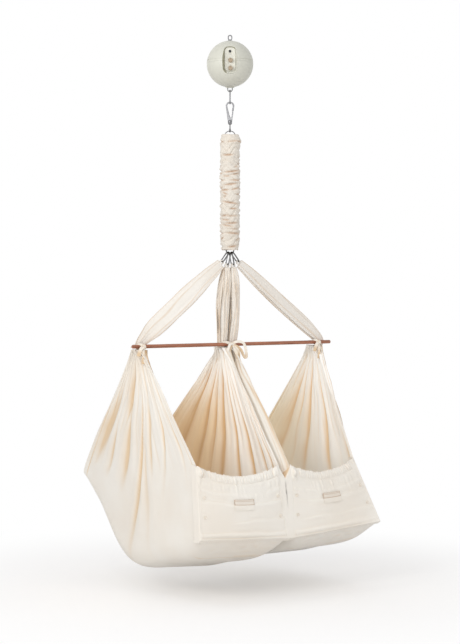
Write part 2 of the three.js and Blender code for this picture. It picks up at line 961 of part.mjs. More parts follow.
function loopGuide() {
  const flangeTop = ballBottomZ - seatGap;
  const flange = loopSlot(
    guideClearance + guideWall + guideFlange,
    flangeTop - guideFlangeThickness,
    flangeTop,
  );
  const sleeve = loopSlot(
    guideClearance + guideWall,
    flangeTop - guideFlangeThickness / 2,
    ballBottomZ + guideLength,
  );
  const slot = loopSlot(
    guideClearance,
    flangeTop - guideFlangeThickness - cutOverrun,
    ballBottomZ + guideLength + cutOverrun,
  );
  return cut(join(flange, sleeve), slot);
}

// Carabiners: a bent wire body with a sprung gate on its right side, drawn in the XZ plane with the
// top of the wire's centre line at the origin.

function clipGate(length, width, wireRadius, gateLength) {
  const side = width / 2 - wireRadius;
  const middle = -(length / 2 - wireRadius);
  return { side, top: middle + gateLength / 2, bottom: middle - gateLength / 2 };
}

function clipBody(length, width, wireRadius, gateLength, sides) {
  const gate = clipGate(length, width, wireRadius, gateLength);
  const side = gate.side;
  const low = -(length - 2 * wireRadius) + side;
  const end = wireRadius * gatePinShare + runningGap;
  const points = [at(side, 0, gate.bottom - end)];
  for (let i = 0; i <= clipBendSteps; i += 1) {
    const angle = (i / clipBendSteps) * Math.PI;
    points.push(at(side * Math.cos(angle), 0, low - side * Math.sin(angle)));
  }
  for (let i = 0; i <= clipBendSteps; i += 1) {
    const angle = (i / clipBendSteps) * Math.PI;
    points.push(at(-side * Math.cos(angle), 0, -side + side * Math.sin(angle)));
  }
  points.push(at(side, 0, gate.top + end));
  return wire(points, wireRadius, sides);
}

function clipGatePin(length, width, wireRadius, gateLength) {
  const gate = clipGate(length, width, wireRadius, gateLength);
  return pin(at(gate.side, 0, gate.bottom), at(gate.side, 0, gate.top), wireRadius * gatePinShare);
}

// Snap hook: a pear-shaped cast bow on a barrel, with a gate on its right side.

function hookOutline() {
  const shape = new THREE.Shape();
  const half = hookBaseWidth / 2;
  shape.moveTo(half, hookBaseZ);
  shape.lineTo(hookBowRadius, hookBowZ);
  shape.absarc(0, hookBowZ, hookBowRadius, 0, Math.PI, false);
  shape.lineTo(-half, hookBaseZ);
  shape.closePath();
  return shape;
}

function hookGateLine() {
  const lean = Math.atan2(hookBowRadius - hookBaseWidth / 2, hookTaperLength);
  const inset = hookBarWidth / 2;
  const bottomZ = hookBaseZ + hookWebRise + hookGateRadius;
  const bottomX = hookBaseWidth / 2 + (hookWebRise + hookGateRadius) * Math.tan(lean) - inset;
  const bottom = at(bottomX, 0, bottomZ);
  const top = at(
    bottomX + hookGateLength * Math.sin(lean),
    0,
    bottomZ + hookGateLength * Math.cos(lean),
  );
  return { bottom, top };
}

function snapHook() {
  const outline = hookOutline();
  const innerRadius = hookBowRadius - hookBarWidth;
  const hole = new THREE.Path();
  const webHalf = hookBaseWidth / 2 - hookWebInset;
  hole.moveTo(innerRadius, hookBowZ);
  hole.absarc(0, hookBowZ, innerRadius, 0, Math.PI, false);
  hole.lineTo(-webHalf, hookBaseZ + hookWebRise);
  hole.lineTo(webHalf, hookBaseZ + hookWebRise);
  hole.closePath();
  outline.holes.push(hole);
  const bow = new THREE.ExtrudeGeometry(outline, {
    depth: hookThickness - 2 * hookBevel,
    bevelEnabled: true,
    bevelThickness: hookBevel,
    bevelSize: hookBevel,
    bevelOffset: -hookBevel,
    bevelSegments: 1,
    curveSegments: 8,
  });
  bow.rotateX(Math.PI / 2).translate(0, hookThickness / 2 - hookBevel, 0);
  const barrelTop = hookBaseZ + hookBarrelLength / 2;
  const chamfer = hookBarrelRadius / 4;
  const barrel = turned([
    [0, hookEndZ],
    [hookBarrelRadius - chamfer, hookEndZ],
    [hookBarrelRadius, hookEndZ + chamfer],
    [hookBarrelRadius, barrelTop - chamfer],
    [hookBarrelRadius - chamfer, barrelTop],
    [0, barrelTop],
  ], bossSides);
  const line = hookGateLine();
  const slack = hookGateRadius + runningGap;
  const gateSpace = box(
    line.bottom.x - hookBarWidth,
    hookBowRadius + cutOverrun,
    -hookThickness,
    hookThickness,
    line.bottom.z - slack,
    line.top.z + slack,
  );
  const headRoom = rod(
    at(0, 0, hookEndZ + hookBarrelLength / 4 - runningGap),
    at(0, 0, hookEndZ + hookBarrelLength / 4 + stemHeadHeight + runningGap),
    stemHeadRadius + runningGap,
  );
  const bore = rod(
    at(0, 0, hookEndZ - cutOverrun),
    at(0, 0, hookEndZ + hookBarrelLength / 4),
    stemRadius + runningGap,
  );
  return cut(join(cut(bow, gateSpace), barrel), join(headRoom, bore));
}

function snapGate() {
  const line = hookGateLine();
  return pin(line.bottom, line.top, hookGateRadius);
}

function swivelEye() {
  const headZ = hookEndZ + hookBarrelLength / 4;
  const stemBottom = swivelEyeZ + swivelEyeRadius;
  const eye = ring(swivelEyeRadius, swivelEyeWireRadius, 0, wireSides, knobSides);
  eye.rotateZ(swivelEyeTurn).translate(0, 0, swivelEyeZ);
  const stem = rod(at(0, 0, stemBottom), at(0, 0, headZ + stemHeadHeight / 2), stemRadius, holeSides);
  const head = rod(at(0, 0, headZ), at(0, 0, headZ + stemHeadHeight), stemHeadRadius);
  return join(eye, stem, head);
}

function ring(radius, wireRadius, z, sides = wireSides, steps = ringSteps) {
  return new THREE.TorusGeometry(radius, wireRadius, sides, steps).rotateX(Math.PI / 2).translate(
    0,
    0,
    z,
  );
}

// Spring: a helix whose ends turn in to open hooks.

function springPath() {
  const points = [];
  const topHookZ = springHookTopZ - springHookRadius;
  for (let i = 0; i <= coilSteps; i += 1) {
    const angle = springHookStart + (i / coilSteps) * springHookTurn;
    points.push(at(
      0,
      -springHookRadius * Math.cos(angle),
      topHookZ + springHookRadius * Math.sin(angle),
    ));
  }
  const steps = springTurns * coilSteps;
  for (let i = 0; i <= steps; i += 1) {
    const share = i / steps;
    const angle = Math.PI / 2 + share * springTurns * 2 * Math.PI;
    const easeIn = smooth(i / cornerSteps);
    const easeOut = smooth((steps - i) / cornerSteps);
    const radius = springHookRadius + (springRadius - springHookRadius) * easeIn * easeOut;
    points.push(at(
      radius * Math.cos(angle),
      radius * Math.sin(angle),
      springBodyTopZ - share * springBodyLength,
    ));
  }
  const bottomHookZ = springHookBottomZ + springHookRadius;
  for (let i = 0; i <= coilSteps; i += 1) {
    const angle = (i / coilSteps) * springHookTurn;
    points.push(at(
      0,
      springHookRadius * Math.cos(angle),
      bottomHookZ - springHookRadius * Math.sin(angle),
    ));
  }
  return points;
}

function leastSelfGap(points, wireRadius, apart) {
  let least = Infinity;
  for (let i = 0; i < points.length; i += 1) {
    for (let j = i + apart; j < points.length; j += 1) {
      least = Math.min(least, points[i].distanceTo(points[j]));
    }
  }
  return least - 2 * wireRadius;
}

function spring() {
  const points = springPath();
  console.log(
    'spring least gap to itself, mm:',
    leastSelfGap(points, springWireRadius, coilSteps - 2).toFixed(2),
  );
  return wire(points, springWireRadius, coilSides);
}

// Cover: a gathered tube of cloth with ruffles, mouths at both ends and two inner folds that bear
// on the spring.

function springCover() {
  const foldRadius = springRadius + springWireRadius + seatGap;
  const rows = [];
  for (let i = 0; i <= coverRows; i += 1) {
    const share = i / coverRows;
    const shoulder = smooth(share / coverShoulderShare) * smooth((1 - share) / coverShoulderShare);
    const crease = i % 2 === 0 ? 1 : -1;
    const mouth = coverMouthRadius + coverHemThickness;
    rows.push({
      radius: mouth + (coverRadius - mouth) * shoulder,
      z: coverTopZ - share * coverLength,
      ruffle: coverRuffle * crease * shoulder,
    });
  }
  const innerShares = [0, coverFoldInset / coverLength, 1 / 2, 1 - coverFoldInset / coverLength, 1];
  const innerRadii = [coverMouthRadius, foldRadius, coverInnerRadius, foldRadius, coverMouthRadius];
  for (let i = innerShares.length - 1; i >= 0; i -= 1) {
    rows.push({ radius: innerRadii[i], z: coverTopZ - innerShares[i] * coverLength, ruffle: 0 });
  }
  const rings = rows.map(({ radius, z, ruffle }, row) => {
    const ringPoints = [];
    for (let i = 0; i < coverSides; i += 1) {
      const angle = (i / coverSides) * 2 * Math.PI;
      const wave = Math.sin(coverRuffleWaves * angle + row * coverRuffleStep);
      const swell = ruffle * (coverRuffleEvenness + (1 - coverRuffleEvenness) * wave);
      ringPoints.push(at((radius + swell) * Math.cos(angle), (radius + swell) * Math.sin(angle), z));
    }
    return ringPoints;
  });
  return skin(rings, true);
}

// Straps: gathered cloth from each lower carabiner to the spreader bar, with a loop at the top.

function clipDirection(place) {
  const angle = (place - (clipCount - 1) / 2) * clipFanStep;
  return at(Math.sin(angle), 0, -Math.cos(angle));
}

function strapLoop(place) {
  const along = clipDirection(place);
  const hang = strapLoopRadius - strapLoopThickness / 2 - clipWireRadius - hangGap - seatGap;
  const centre = along.clone().multiplyScalar(clipEnd + hang).add(at(0, 0, bottomRingZ));
  const loop = ring(strapLoopRadius, strapLoopThickness / 2, 0, clipWireSides, strapSides);
  loop.scale(1, strapLoopWidth / strapLoopThickness, 1);
  return { centre, loop: loop.translate(centre.x, centre.y, centre.z) };
}

function strap(place, footX, { width: middleWidth, thickness: middleThickness, foot, belly }) {
  const { centre, loop } = strapLoop(place);
  const along = clipDirection(place);
  const start = centre.clone().addScaledVector(along, strapLoopRadius);
  const end = at(footX, bundleY, neckZ + hangGap);
  const overBar = at(footX, bundleY, barZ + 3 * barRadius);
  const middle = start.clone().lerp(overBar, 1 / 2).add(at(Math.sign(footX) * belly, 0, 0));
  const path = new THREE.CatmullRomCurve3([start, middle, overBar, end], false, 'centripetal');
  const rings = strapStationShares.map((share) => {
    const centreHere = path.getPointAt(share);
    const tangent = path.getTangentAt(share);
    const flat = new THREE.Vector3().crossVectors(tangent, at(0, 1, 0)).normalize();
    const level = new THREE.Vector3().crossVectors(flat, tangent).normalize();
    const open = Math.sin(Math.PI * Math.min(share / strapOpenShare, 1)) ** strapOpenPower;
    const lean = belly > 0 ? 0 : strapLean * open;
    const wide = flat.clone().multiplyScalar(Math.cos(lean)).addScaledVector(level, Math.sin(lean));
    const thin = level.clone().multiplyScalar(Math.cos(lean)).addScaledVector(flat, -Math.sin(lean));
    const endWidth = strapNeckWidth + (foot - strapNeckWidth) * share;
    const endThickness = strapNeckThickness + (strapFootThickness - strapNeckThickness) * share;
    const width = endWidth + (middleWidth - endWidth) * open;
    const thickness = endThickness + (middleThickness - endThickness) * open;
    const ringPoints = [];
    for (let i = 0; i < strapSides; i += 1) {
      const angle = (i / strapSides) * 2 * Math.PI;
      const fold = (i % 2 === 0 ? 1 : -1) * strapFoldDepth / 2;
      const across = (width / 2) * Math.cos(angle);
      const through = (thickness / 2 + fold * Math.abs(Math.sin(angle))) * Math.sin(angle);
      ringPoints.push(centreHere.clone().addScaledVector(wide, across).addScaledVector(thin, through));
    }
    return ringPoints;
  });
  return join(skin(rings, false), loop);
}

// Spreader bar

function spreaderBar() {
  return turned([
    [0, barLeftX],
    [barRadius - barTipRound, barLeftX],
    [barRadius, barLeftX + barTipRound],
    [barRadius, barRightX - barTipRound],
    [barRadius - barTipRound, barRightX],
    [0, barRightX],
  ], bossSides).rotateY(Math.PI / 2).translate(0, 0, barZ);
}

// Ties: tape laid round the bar and the cloth behind it, over the bar on one side of the cloth and
// under it on the other, with a knot in front and hanging ends.

// A flat tape along points; each face direction says which way the tape's outer face looks.
function ribbon(points, faces, width, thickness) {
  const last = points.length - 1;
  const rings = points.map((point, i) => {
    const before = points[Math.max(i - 1, 0)];
    const after = points[Math.min(i + 1, last)];
    const tangent = new THREE.Vector3().subVectors(after, before).normalize();
    const out = faces[i].clone().addScaledVector(tangent, -faces[i].dot(tangent)).normalize();
    const wide = new THREE.Vector3().crossVectors(tangent, out);
    return [[1, 1], [-1, 1], [-1, -1], [1, -1]].map(([across, through]) => point.clone()
      .addScaledVector(wide, (across * width) / 2)
      .addScaledVector(out, (through * thickness) / 2));
  });
  return skin(rings, false);
}

function tapeTurn(x, halfSpan, side) {
  const lift = barRadius + hangGap + tapeThickness;
  const reach = halfSpan + strapFoldDepth + seatGap + tapeThickness;
  const back = bundleY + strapFootThickness / 2 + strapFoldDepth + seatGap + tapeThickness;
  const points = [];
  const faces = [];
  for (let i = 0; i <= tapeOverSteps; i += 1) {
    const share = i / tapeOverSteps;
    const angle = share * tapeOverTurn;
    const out = at(0, -Math.cos(angle), side * Math.sin(angle));
    const away = share * (reach - tapeWidth);
    points.push(out.clone().multiplyScalar(lift / Math.cos(tapeLiftTurn)).add(at(
      x - side * away,
      0,
      barZ,
    )));
    faces.push(out);
  }
  const corner = tapeWidth / 2;
  points.push(at(x - side * reach, bundleY - corner, barZ + side * lift * tapeSlantShare));
  faces.push(at(-side, -tapeSlantShare, side * tapeSlantShare));
  points.push(at(x - side * reach, bundleY + corner, barZ));
  faces.push(at(-side, 0, 0));
  points.push(at(x - side * (reach - corner), back, barZ));
  faces.push(at(-side * tapeSlantShare, 1, 0));
  points.push(at(x, back, barZ));
  faces.push(at(0, 1, 0));
  return ribbon(points, faces, turnTapeWidth, tapeThickness);
}

function knotY() {
  return -barRadius - seatGap - tapeThickness - knotRadius / 2;
}

function tapeTail(x, out, length) {
  const y = knotY() - tailSetBack;
  const side = Math.sign(out);
  const points = [
    at(x, y, barZ),
    at(x + out * tailBendShare, y, barZ - knotRadius),
    at(x + out, y - tapeThickness, barZ - length / 2),
    at(x + out / tailBendShare, y, barZ - length),
  ];
  const faces = points.map(() => at(side * tailTurnShare, -1, 0));
  return ribbon(points, faces, tailTapeWidth, tapeThickness);
}

function knot(x) {
  const ball = new THREE.SphereGeometry(knotRadius, knotSides, knotRows);
  return ball.scale(1, knotDepthShare, knotHeightShare).translate(x, knotY(), barZ);
}

// A bow's loop of tape, lying along the given direction.
function bowLoop(x, along, length) {
  const loop = new THREE.Shape();
  loop.absellipse(0, 0, length / 2, bowLoopHalfHeight, 0, 2 * Math.PI, false);
  const hole = new THREE.Path();
  hole.absellipse(
    0,
    0,
    length / 2 - tapeThickness,
    bowLoopHalfHeight - tapeThickness,
    0,
    2 * Math.PI,
    false,
  );
  loop.holes.push(hole);
  const depth = turnTapeWidth;
  const solid = new THREE.ExtrudeGeometry(loop, { depth, bevelEnabled: false, curveSegments: 4 });
  solid.translate(length / 2, 0, -depth / 2);
  const far = along.clone().normalize();
  const wide = new THREE.Vector3().crossVectors(far, at(0, 0, 1)).normalize();
  const upward = new THREE.Vector3().crossVectors(wide, far);
  const place = new THREE.Matrix4().makeBasis(far, upward, wide);
  place.setPosition(x, knotY() - tailSetBack, barZ);
  return solid.applyMatrix4(place);
}

function plainTie(x) {
  const half = strapFootWidth / 2;
  return join(
    tapeTurn(x, half, 1),
    tapeTurn(x, half, -1),
    knot(x),
    tapeTail(x, -tailSpread, tapeTailLength * shortTailShare),
    tapeTail(x, tailSpread, tapeTailLength * longTailShare),
  );
}

function bowTie(x) {
  const half = centreTieHalf + centreTieWidth / 2;
  return join(
    tapeTurn(x, half, 1),
    tapeTurn(x, half, -1),
    knot(x),
    bowLoop(x, at(...bowDirection), bowLoopLength),
    bowLoop(x, at(...smallBowDirection), bowLoopLength * smallBowShare),
    tapeTail(x, bowTailSpread, tapeTailLength * bowTailShare),
    tapeTail(x, -bowTailSpread, tapeTailLength * longTailShare),
  );
}

// Slings. A sling is one sheet from tie to tie: down a wall, across the bed and up the other wall.
// Stations run from the front edge (0) to the back edge (1). At each station the sheet follows
// a bent line with rounded corners through the tie, the rim level and the bed's edge.

function guide(values, station) {
  const last = values.length - 1;
  const place = Math.min(Math.max(station, 0), 1) * last;
  const i = Math.min(Math.floor(place), last - 1);
  const t = place - i;
  const before = values[Math.max(i - 1, 0)];
  const a = values[i];
  const b = values[i + 1];
  const after = values[Math.min(i + 2, last)];
  const slopeA = (b - before) / 2;
  const slopeB = (after - a) / 2;
  const h = b - a;
  return a + t * (slopeA + t * ((3 * h - 2 * slopeA - slopeB) + t * (slopeA + slopeB - 2 * h)));
}

const rimYShares = [-1, -0.56, 0, 0.5, 1];
const rimDropShares = [0, 0.25, 0.55, 0.82, 1];
const bedYShares = [-1, -0.78, -0.32, 0.28, 0.73, 1];
const bedDropShares = [0, 0.5, 0.8, 1, -0.15, -0.98];
const bulgeShares = [0, 0.7, 1, 0.6, 0];
const drawShares = [0, 0.02, 0.12, 0.45, 1];

function depthAt(share) {
  return share < 0 ? share * slingDepthFront : share * slingDepthBack;
}

function wallCorners(spec, side, station) {
  const tieX = side < 0 ? spec.leftX : spec.rightX;
  const frontX = side < 0 ? spec.frontLeftX : spec.frontRightX;
  const backX = side < 0 ? spec.backLeftX : spec.backRightX;
  const rimSlant = side > 0 ? spec.slant : 0;
  const spread = (station - 1 / 2) * neckSpread;
  const rimX = THREE.MathUtils.lerp(frontX, tieX, smooth(station * 3));
  const drawn = guide(drawShares, station);
  const x = rimX + (backX - rimX) * drawn + side * wallBulge * guide(bulgeShares, station);
  const rimDrop = frontRimDrop + (backRimDrop - frontRimDrop) * guide(rimDropShares, station);
  const rimY = depthAt(guide(rimYShares, station)) + rimSlant * (1 - smooth(station * 4));
  const bedY = depthAt(guide(bedYShares, station));
  const bedRange = bottomLowestDrop - frontRimDrop - frontPanelHeight;
  const bedDrop = frontRimDrop + frontPanelHeight + bedRange * guide(bedDropShares, station);
  const frontLift = side > 0 ? spec.lift * (1 - smooth(station * 2)) : 0;
  const lift = frontLift + spec.rise * Math.sin(Math.PI * station);
  const bedX = side < 0 ? spec.bedLeftX : spec.bedRightX;
  const bedDrawn = bedX + (backX - bedX) * drawn;
  return {
    tie: at(tieX, bundleY + spread, neckZ),
    rim: at(x, rimY, barZ - rimDrop),
    bed: at(bedDrawn, bedY, barZ - bedDrop + lift),
  };
}

function roundCorner(before, corner, after, size) {
  const back = Math.min(size, corner.distanceTo(before) * cornerCutLimit);
  const ahead = Math.min(size, corner.distanceTo(after) * cornerCutLimit);
  const start = corner.clone().lerp(before, back / corner.distanceTo(before));
  const end = corner.clone().lerp(after, ahead / corner.distanceTo(after));
  const firstArm = start.clone().add(corner).multiplyScalar(1 / 2);
  const lastArm = corner.clone().add(end).multiplyScalar(1 / 2);
  const middle = firstArm.clone().add(lastArm).multiplyScalar(1 / 2);
  return { start, firstArm, middle, lastArm, end };
}

// The points of one station of the sheet, from the left tie to the right tie.
function slingStation(spec, station) {
  const left = wallCorners(spec, -1, station);
  const right = wallCorners(spec, 1, station);
  const corners = [left.tie, left.rim, left.bed, right.bed, right.rim, right.tie];
  const rimCut = frontCornerCut + (wallCornerCut - frontCornerCut) * smooth(station * 4);
  const bedCut = frontCornerCut + (bedCornerCut - frontCornerCut) * smooth(station * 5);
  const sizes = [0, rimCut, bedCut, bedCut, rimCut, 0];
  const rounds = corners.map((corner, i) => {
    if (i === 0 || i === corners.length - 1) return null;
    return roundCorner(corners[i - 1], corner, corners[i + 1], sizes[i]);
  });
  const steps = [wallSteps, sideSteps, bedSteps, sideSteps, wallSteps];
  const points = [];
  for (let s = 0; s < steps.length; s += 1) {
    const path = new THREE.CurvePath();
    const from = rounds[s];
    const to = rounds[s + 1];
    const lineStart = from ? from.end : corners[s];
    const lineEnd = to ? to.start : corners[s + 1];
    if (from) path.add(new THREE.QuadraticBezierCurve3(from.middle, from.lastArm, from.end));
    path.add(new THREE.LineCurve3(lineStart, lineEnd));
    if (to) path.add(new THREE.QuadraticBezierCurve3(to.start, to.firstArm, to.middle));
    for (let i = s === 0 ? 0 : 1; i <= steps[s]; i += 1) points.push(path.getPoint(i / steps[s]));
  }
  return points;
}

// How far a fold stands out of the sheet at a point, given its count of steps from the nearer tie.
function foldHeight(stepsFromTie, station) {
  const down = stepsFromTie / wallSteps;
  const full = THREE.MathUtils.lerp(neckFold, rimFold, smooth(down));
  const size = full * (1 - smooth(down - foldFadeStart));
  return size * Math.cos(2 * Math.PI * foldCount * station + foldPhase);
}

function slingSheet(spec) {
  const grid = [];
  for (let v = 0; v <= slingStations; v += 1) grid.push(slingStation(spec, v / slingStations));
  const columns = grid[0].length;
  const outer = [];
  const inner = [];
  for (let v = 0; v <= slingStations; v += 1) {
    outer.push([]);
    inner.push([]);
    for (let u = 0; u < columns; u += 1) {
      const acrossA = grid[v][Math.max(u - 1, 0)];
      const acrossB = grid[v][Math.min(u + 1, columns - 1)];
      const alongA = grid[Math.max(v - 1, 0)][u];
      const alongB = grid[Math.min(v + 1, slingStations)][u];
      const across = new THREE.Vector3().subVectors(acrossB, acrossA);
      const along = new THREE.Vector3().subVectors(alongB, alongA);
      const normal = new THREE.Vector3().crossVectors(along, across).normalize();
      const fold = foldHeight(Math.min(u, columns - 1 - u), v / slingStations);
      const middle = grid[v][u].clone().addScaledVector(normal, fold);
      outer[v].push(middle.clone().addScaledVector(normal, clothThickness / 2));
      inner[v].push(middle.clone().addScaledVector(normal, -clothThickness / 2));
    }
  }
  const rings = outer.map((row, v) => [...row, ...inner[v].slice().reverse()]);
  return { geometry: sheetSolid(rings), grid };
}

// A thin sheet whose stations are flat rings (outer points out, inner points back): its two end
// rings are closed by strips, not by fans.
function sheetSolid(rings) {
  const count = rings[0].length;
  const positions = [];
  const index = [];
  for (const one of rings) {
    for (const point of one) positions.push(point.x, point.y, point.z);
  }
  for (let r = 0; r < rings.length - 1; r += 1) {
    for (let i = 0; i < count; i += 1) {
      const j = (i + 1) % count;
      const a = r * count + i;
      const b = r * count + j;
      const c = (r + 1) * count + j;
      const d = (r + 1) * count + i;
      index.push(a, b, c, a, c, d);
    }
  }
  const half = count / 2;
  for (let i = 0; i < half - 1; i += 1) {
    const opposite = count - 1 - i;
    const last = (rings.length - 1) * count;
    index.push(i, opposite, opposite - 1, i, opposite - 1, i + 1);
    index.push(
      last + i,
      last + opposite - 1,
      last + opposite,
      last + i,
      last + i + 1,
      last + opposite - 1,
    );
  }
  const geometry = new THREE.BufferGeometry();
  geometry.setAttribute('position', new THREE.Float32BufferAttribute(positions, 3));
  geometry.setIndex(index);
  return facingOut(geometry);
}

// Front panels close the front between the rim corners and the bed's front edge.

function panelFrame(spec) {
  const left = wallCorners(spec, -1, 0);
  const right = wallCorners(spec, 1, 0);
  const across = new THREE.Vector3().subVectors(right.bed, left.bed).normalize();
  const up = new THREE.Vector3().addVectors(left.rim, right.rim);
  up.sub(left.bed).sub(right.bed).normalize();
  const normal = new THREE.Vector3().crossVectors(across, up).normalize();
  return { left, right, normal };
}

function panelPoint(frame, p, q) {
  const top = frame.left.rim.clone().lerp(frame.right.rim, p);
  const bottom = frame.left.bed.clone().lerp(frame.right.bed, p);
  const sag = hemSag * Math.sin(Math.PI * p) ** hemSagPower * (1 - q);
  const point = top.lerp(bottom, q);
  point.z -= sag;
  const rise = Math.sin(Math.PI * (panelBulgeStart + q * (1 - panelBulgeStart)));
  const bulge = panelBulge * Math.sin(Math.PI * p) * Math.max(rise, 0);
  return point.addScaledVector(frame.normal, bulge);
}

function frontPanel(spec) {
  const frame = panelFrame(spec);
  const back = panelSetOff;
  const hemShare = hemHeight / frontPanelHeight;
  const rings = panelRowShares.map((q) => {
    const inHem = Math.max(0, 1 - Math.abs(q - hemShare / 2) / (hemShare / 2));
    const thickness = clothThickness + (hemThickness - clothThickness) * Math.sqrt(inHem);
    const front = [];
    const rear = [];
    for (let i = 0; i <= panelColumns; i += 1) {
      const p = i / panelColumns;
      const point = panelPoint(frame, p, q);
      const side = i % 2 === 0 ? 1 : -1;
      const pleat = side * rimFold * hemPleatShare * Math.max(1 - q / (2 * hemShare), 0);
      rear.push(point.clone().addScaledVector(frame.normal, back + pleat));
      front.push(point.clone().addScaledVector(frame.normal, back + thickness + pleat));
    }
    return [...front, ...rear.reverse()];
  });
  return { geometry: sheetSolid(rings), frame, faceOffset: back + clothThickness };
}

// A small piece that lies on a panel's face, drawn in the XY plane and facing +Z.
function onPanel(panel, geometry, p, q) {
  const point = panelPoint(panel.frame, p, q);
  const step = 0.01;
  const dp = new THREE.Vector3().subVectors(
    panelPoint(panel.frame, p + step, q),
    panelPoint(panel.frame, p - step, q),
  );
  const dq = new THREE.Vector3().subVectors(
    panelPoint(panel.frame, p, q + step),
    panelPoint(panel.frame, p, q - step),
  );
  const out = new THREE.Vector3().crossVectors(dq, dp).normalize();
  const across = dp.normalize();
  const upward = new THREE.Vector3().crossVectors(out, across);
  const place = new THREE.Matrix4().makeBasis(across, upward, out);
  const lift = panel.faceOffset + 2 * seatGap;
  const where = point.addScaledVector(out, lift);
  place.setPosition(where);
  return geometry.applyMatrix4(place);
}

function button() {
  return turned([
    [0, 0],
    [buttonRadius, 0],
    [buttonRadius, buttonThickness * buttonWallShare],
    [buttonRadius * buttonRimShare, buttonThickness],
    [buttonRadius * buttonDishShare, buttonThickness - buttonDish],
    [0, buttonThickness - buttonDish],
  ], buttonSides);
}

function label() {
  const shape = roundedRectangle(labelWidth, labelHeight, labelCornerRadius);
  return new THREE.ExtrudeGeometry(
    shape,
    { depth: labelThickness, bevelEnabled: false, curveSegments: 2 },
  );
}

// Mattress: a crowned pad that follows the bed from the front panel to the foot of the back slope.

function mattress(spec) {
  const rings = mattressStationShares.map((station, row) => {
    const left = wallCorners(spec, -1, station).bed;
    const right = wallCorners(spec, 1, station).bed;
    const before = wallCorners(spec, -1, station - mattressAimStep).bed;
    const after = wallCorners(spec, -1, station + mattressAimStep).bed;
    const along = new THREE.Vector3().subVectors(after, before).setX(0).normalize();
    const up = new THREE.Vector3(0, -along.z, along.y);
    const last = mattressStationShares.length - 1;
    const fromEnd = Math.min(row, last - row);
    const full = fromEnd === 0 ? mattressEndShare : 1;
    const pull = fromEnd === 0 ? mattressThickness / 4 : 0;
    const span = right.x - left.x;
    const half = span / 2 - mattressSide - pull;
    const base = clothThickness / 2 + mattressRest + (1 - full) * mattressThickness / 2;
    const ringPoints = [];
    for (let i = 0; i < mattressSides; i += 1) {
      const angle = (i / mattressSides) * 2 * Math.PI;
      const x = Math.sign(Math.cos(angle)) * Math.abs(Math.cos(angle)) ** mattressSidePower * half;
      const lift = Math.sign(Math.sin(angle)) * Math.abs(Math.sin(angle)) ** mattressTopPower;
      const crown = lift > 0 ? mattressCrown * (1 - (x / half) ** 2) : 0;
      const height = base + (mattressThickness * full / 2) * (1 + lift) + crown * lift;
      ringPoints.push(left.clone().lerp(right, 1 / 2 + x / span).addScaledVector(up, height));
    }
    return ringPoints;
  });
  return skin(rings, false);
}

// The two slings' own sizes: tie places, front corners, bed edges and back corners.

const leftSling = {
  leftX: tieLeftX,
  rightX: -centreTieHalf,
  frontLeftX: tieLeftX - wallBulge,
  frontRightX: -centreTieHalf / 2 - clothThickness,
  bedLeftX: tieLeftX,
  bedRightX: -centreTieHalf / 2,
  backLeftX: tieLeftX + wallBulge,
  backRightX: -centreTieHalf - backDrawIn,
  slant: 0,
  lift: 0,
  rise: 0,
};

const rightSling = {
  leftX: centreTieHalf,
  rightX: tieRightX,
  frontLeftX: centreTieHalf / 2 + clothThickness,
  frontRightX: tieRightX - rightPanelDrawIn,
  bedLeftX: centreTieHalf / 2,
  bedRightX: tieRightX,
  backLeftX: centreTieHalf + backDrawIn,
  backRightX: tieRightX - 2 * wallBulge,
  slant: rightPanelSlant,
  lift: rightPanelLift,
  rise: rightBedRise,
};

// Assembly

const part = new THREE.Group();

const motor = new THREE.Group();
motor.rotation.z = motorTurn;
part.add(motor);

const shells = housings();
motor.add(mesh('hanger_eye', hangerEye(), steel));
motor.add(mesh('eye_nut', eyeNut(), steel));
motor.add(mesh('housing_upper', shells.upper, shellPlastic));
motor.add(mesh('seam_band', seamBand(), bandPlastic));
motor.add(mesh('housing_lower', shells.lower, shellPlastic));
motor.add(mesh('control_panel', controlPanel(), shellPlastic));
motor.add(mesh('power_inlet', powerInlet(), darkPlastic));
motor.add(mesh('circuit_board', circuitBoard(), boardGreen));
motor.add(mesh('speed_knob', knob(speedKnobRise), knobPlastic));
motor.add(mesh('strength_knob', knob(strengthKnobRise), knobPlastic));
motor.add(mesh('chassis', chassis(), steel));
motor.add(mesh('gear_motor', gearMotor(), darkSteel));
motor.add(mesh('winch_drum', winchDrum(), steel));
motor.add(mesh('lift_strap', liftStrap(), webbing));
motor.add(mesh('lift_loop', liftLoop(), darkSteel));
motor.add(mesh('loop_guide', loopGuide(), darkPlastic));

const upperLink = new THREE.Group();
upperLink.position.z = linkTopZ;
upperLink.rotation.z = Math.PI / 2;
motor.add(upperLink);
upperLink.add(mesh(
  'upper_carabiner',
  clipBody(linkLength, linkWidth, linkWireRadius, linkGateLength, wireSides),
  steel,
));
upperLink.add(mesh(
  'upper_carabiner_gate',
  clipGatePin(linkLength, linkWidth, linkWireRadius, linkGateLength),
  steel,
));

motor.add(mesh('snap_hook', snapHook(), steel));
motor.add(mesh('snap_gate', snapGate(), steel));
motor.add(mesh('swivel_eye', swivelEye(), darkSteel));
motor.add(mesh('top_ring', ring(topRingRadius, topRingWireRadius, topRingZ), steel));

part.add(mesh('spring', spring(), steel));
part.add(mesh('spring_cover', springCover(), cotton));
part.add(mesh('bottom_ring', ring(bottomRingRadius, bottomRingWireRadius, bottomRingZ), darkSteel));

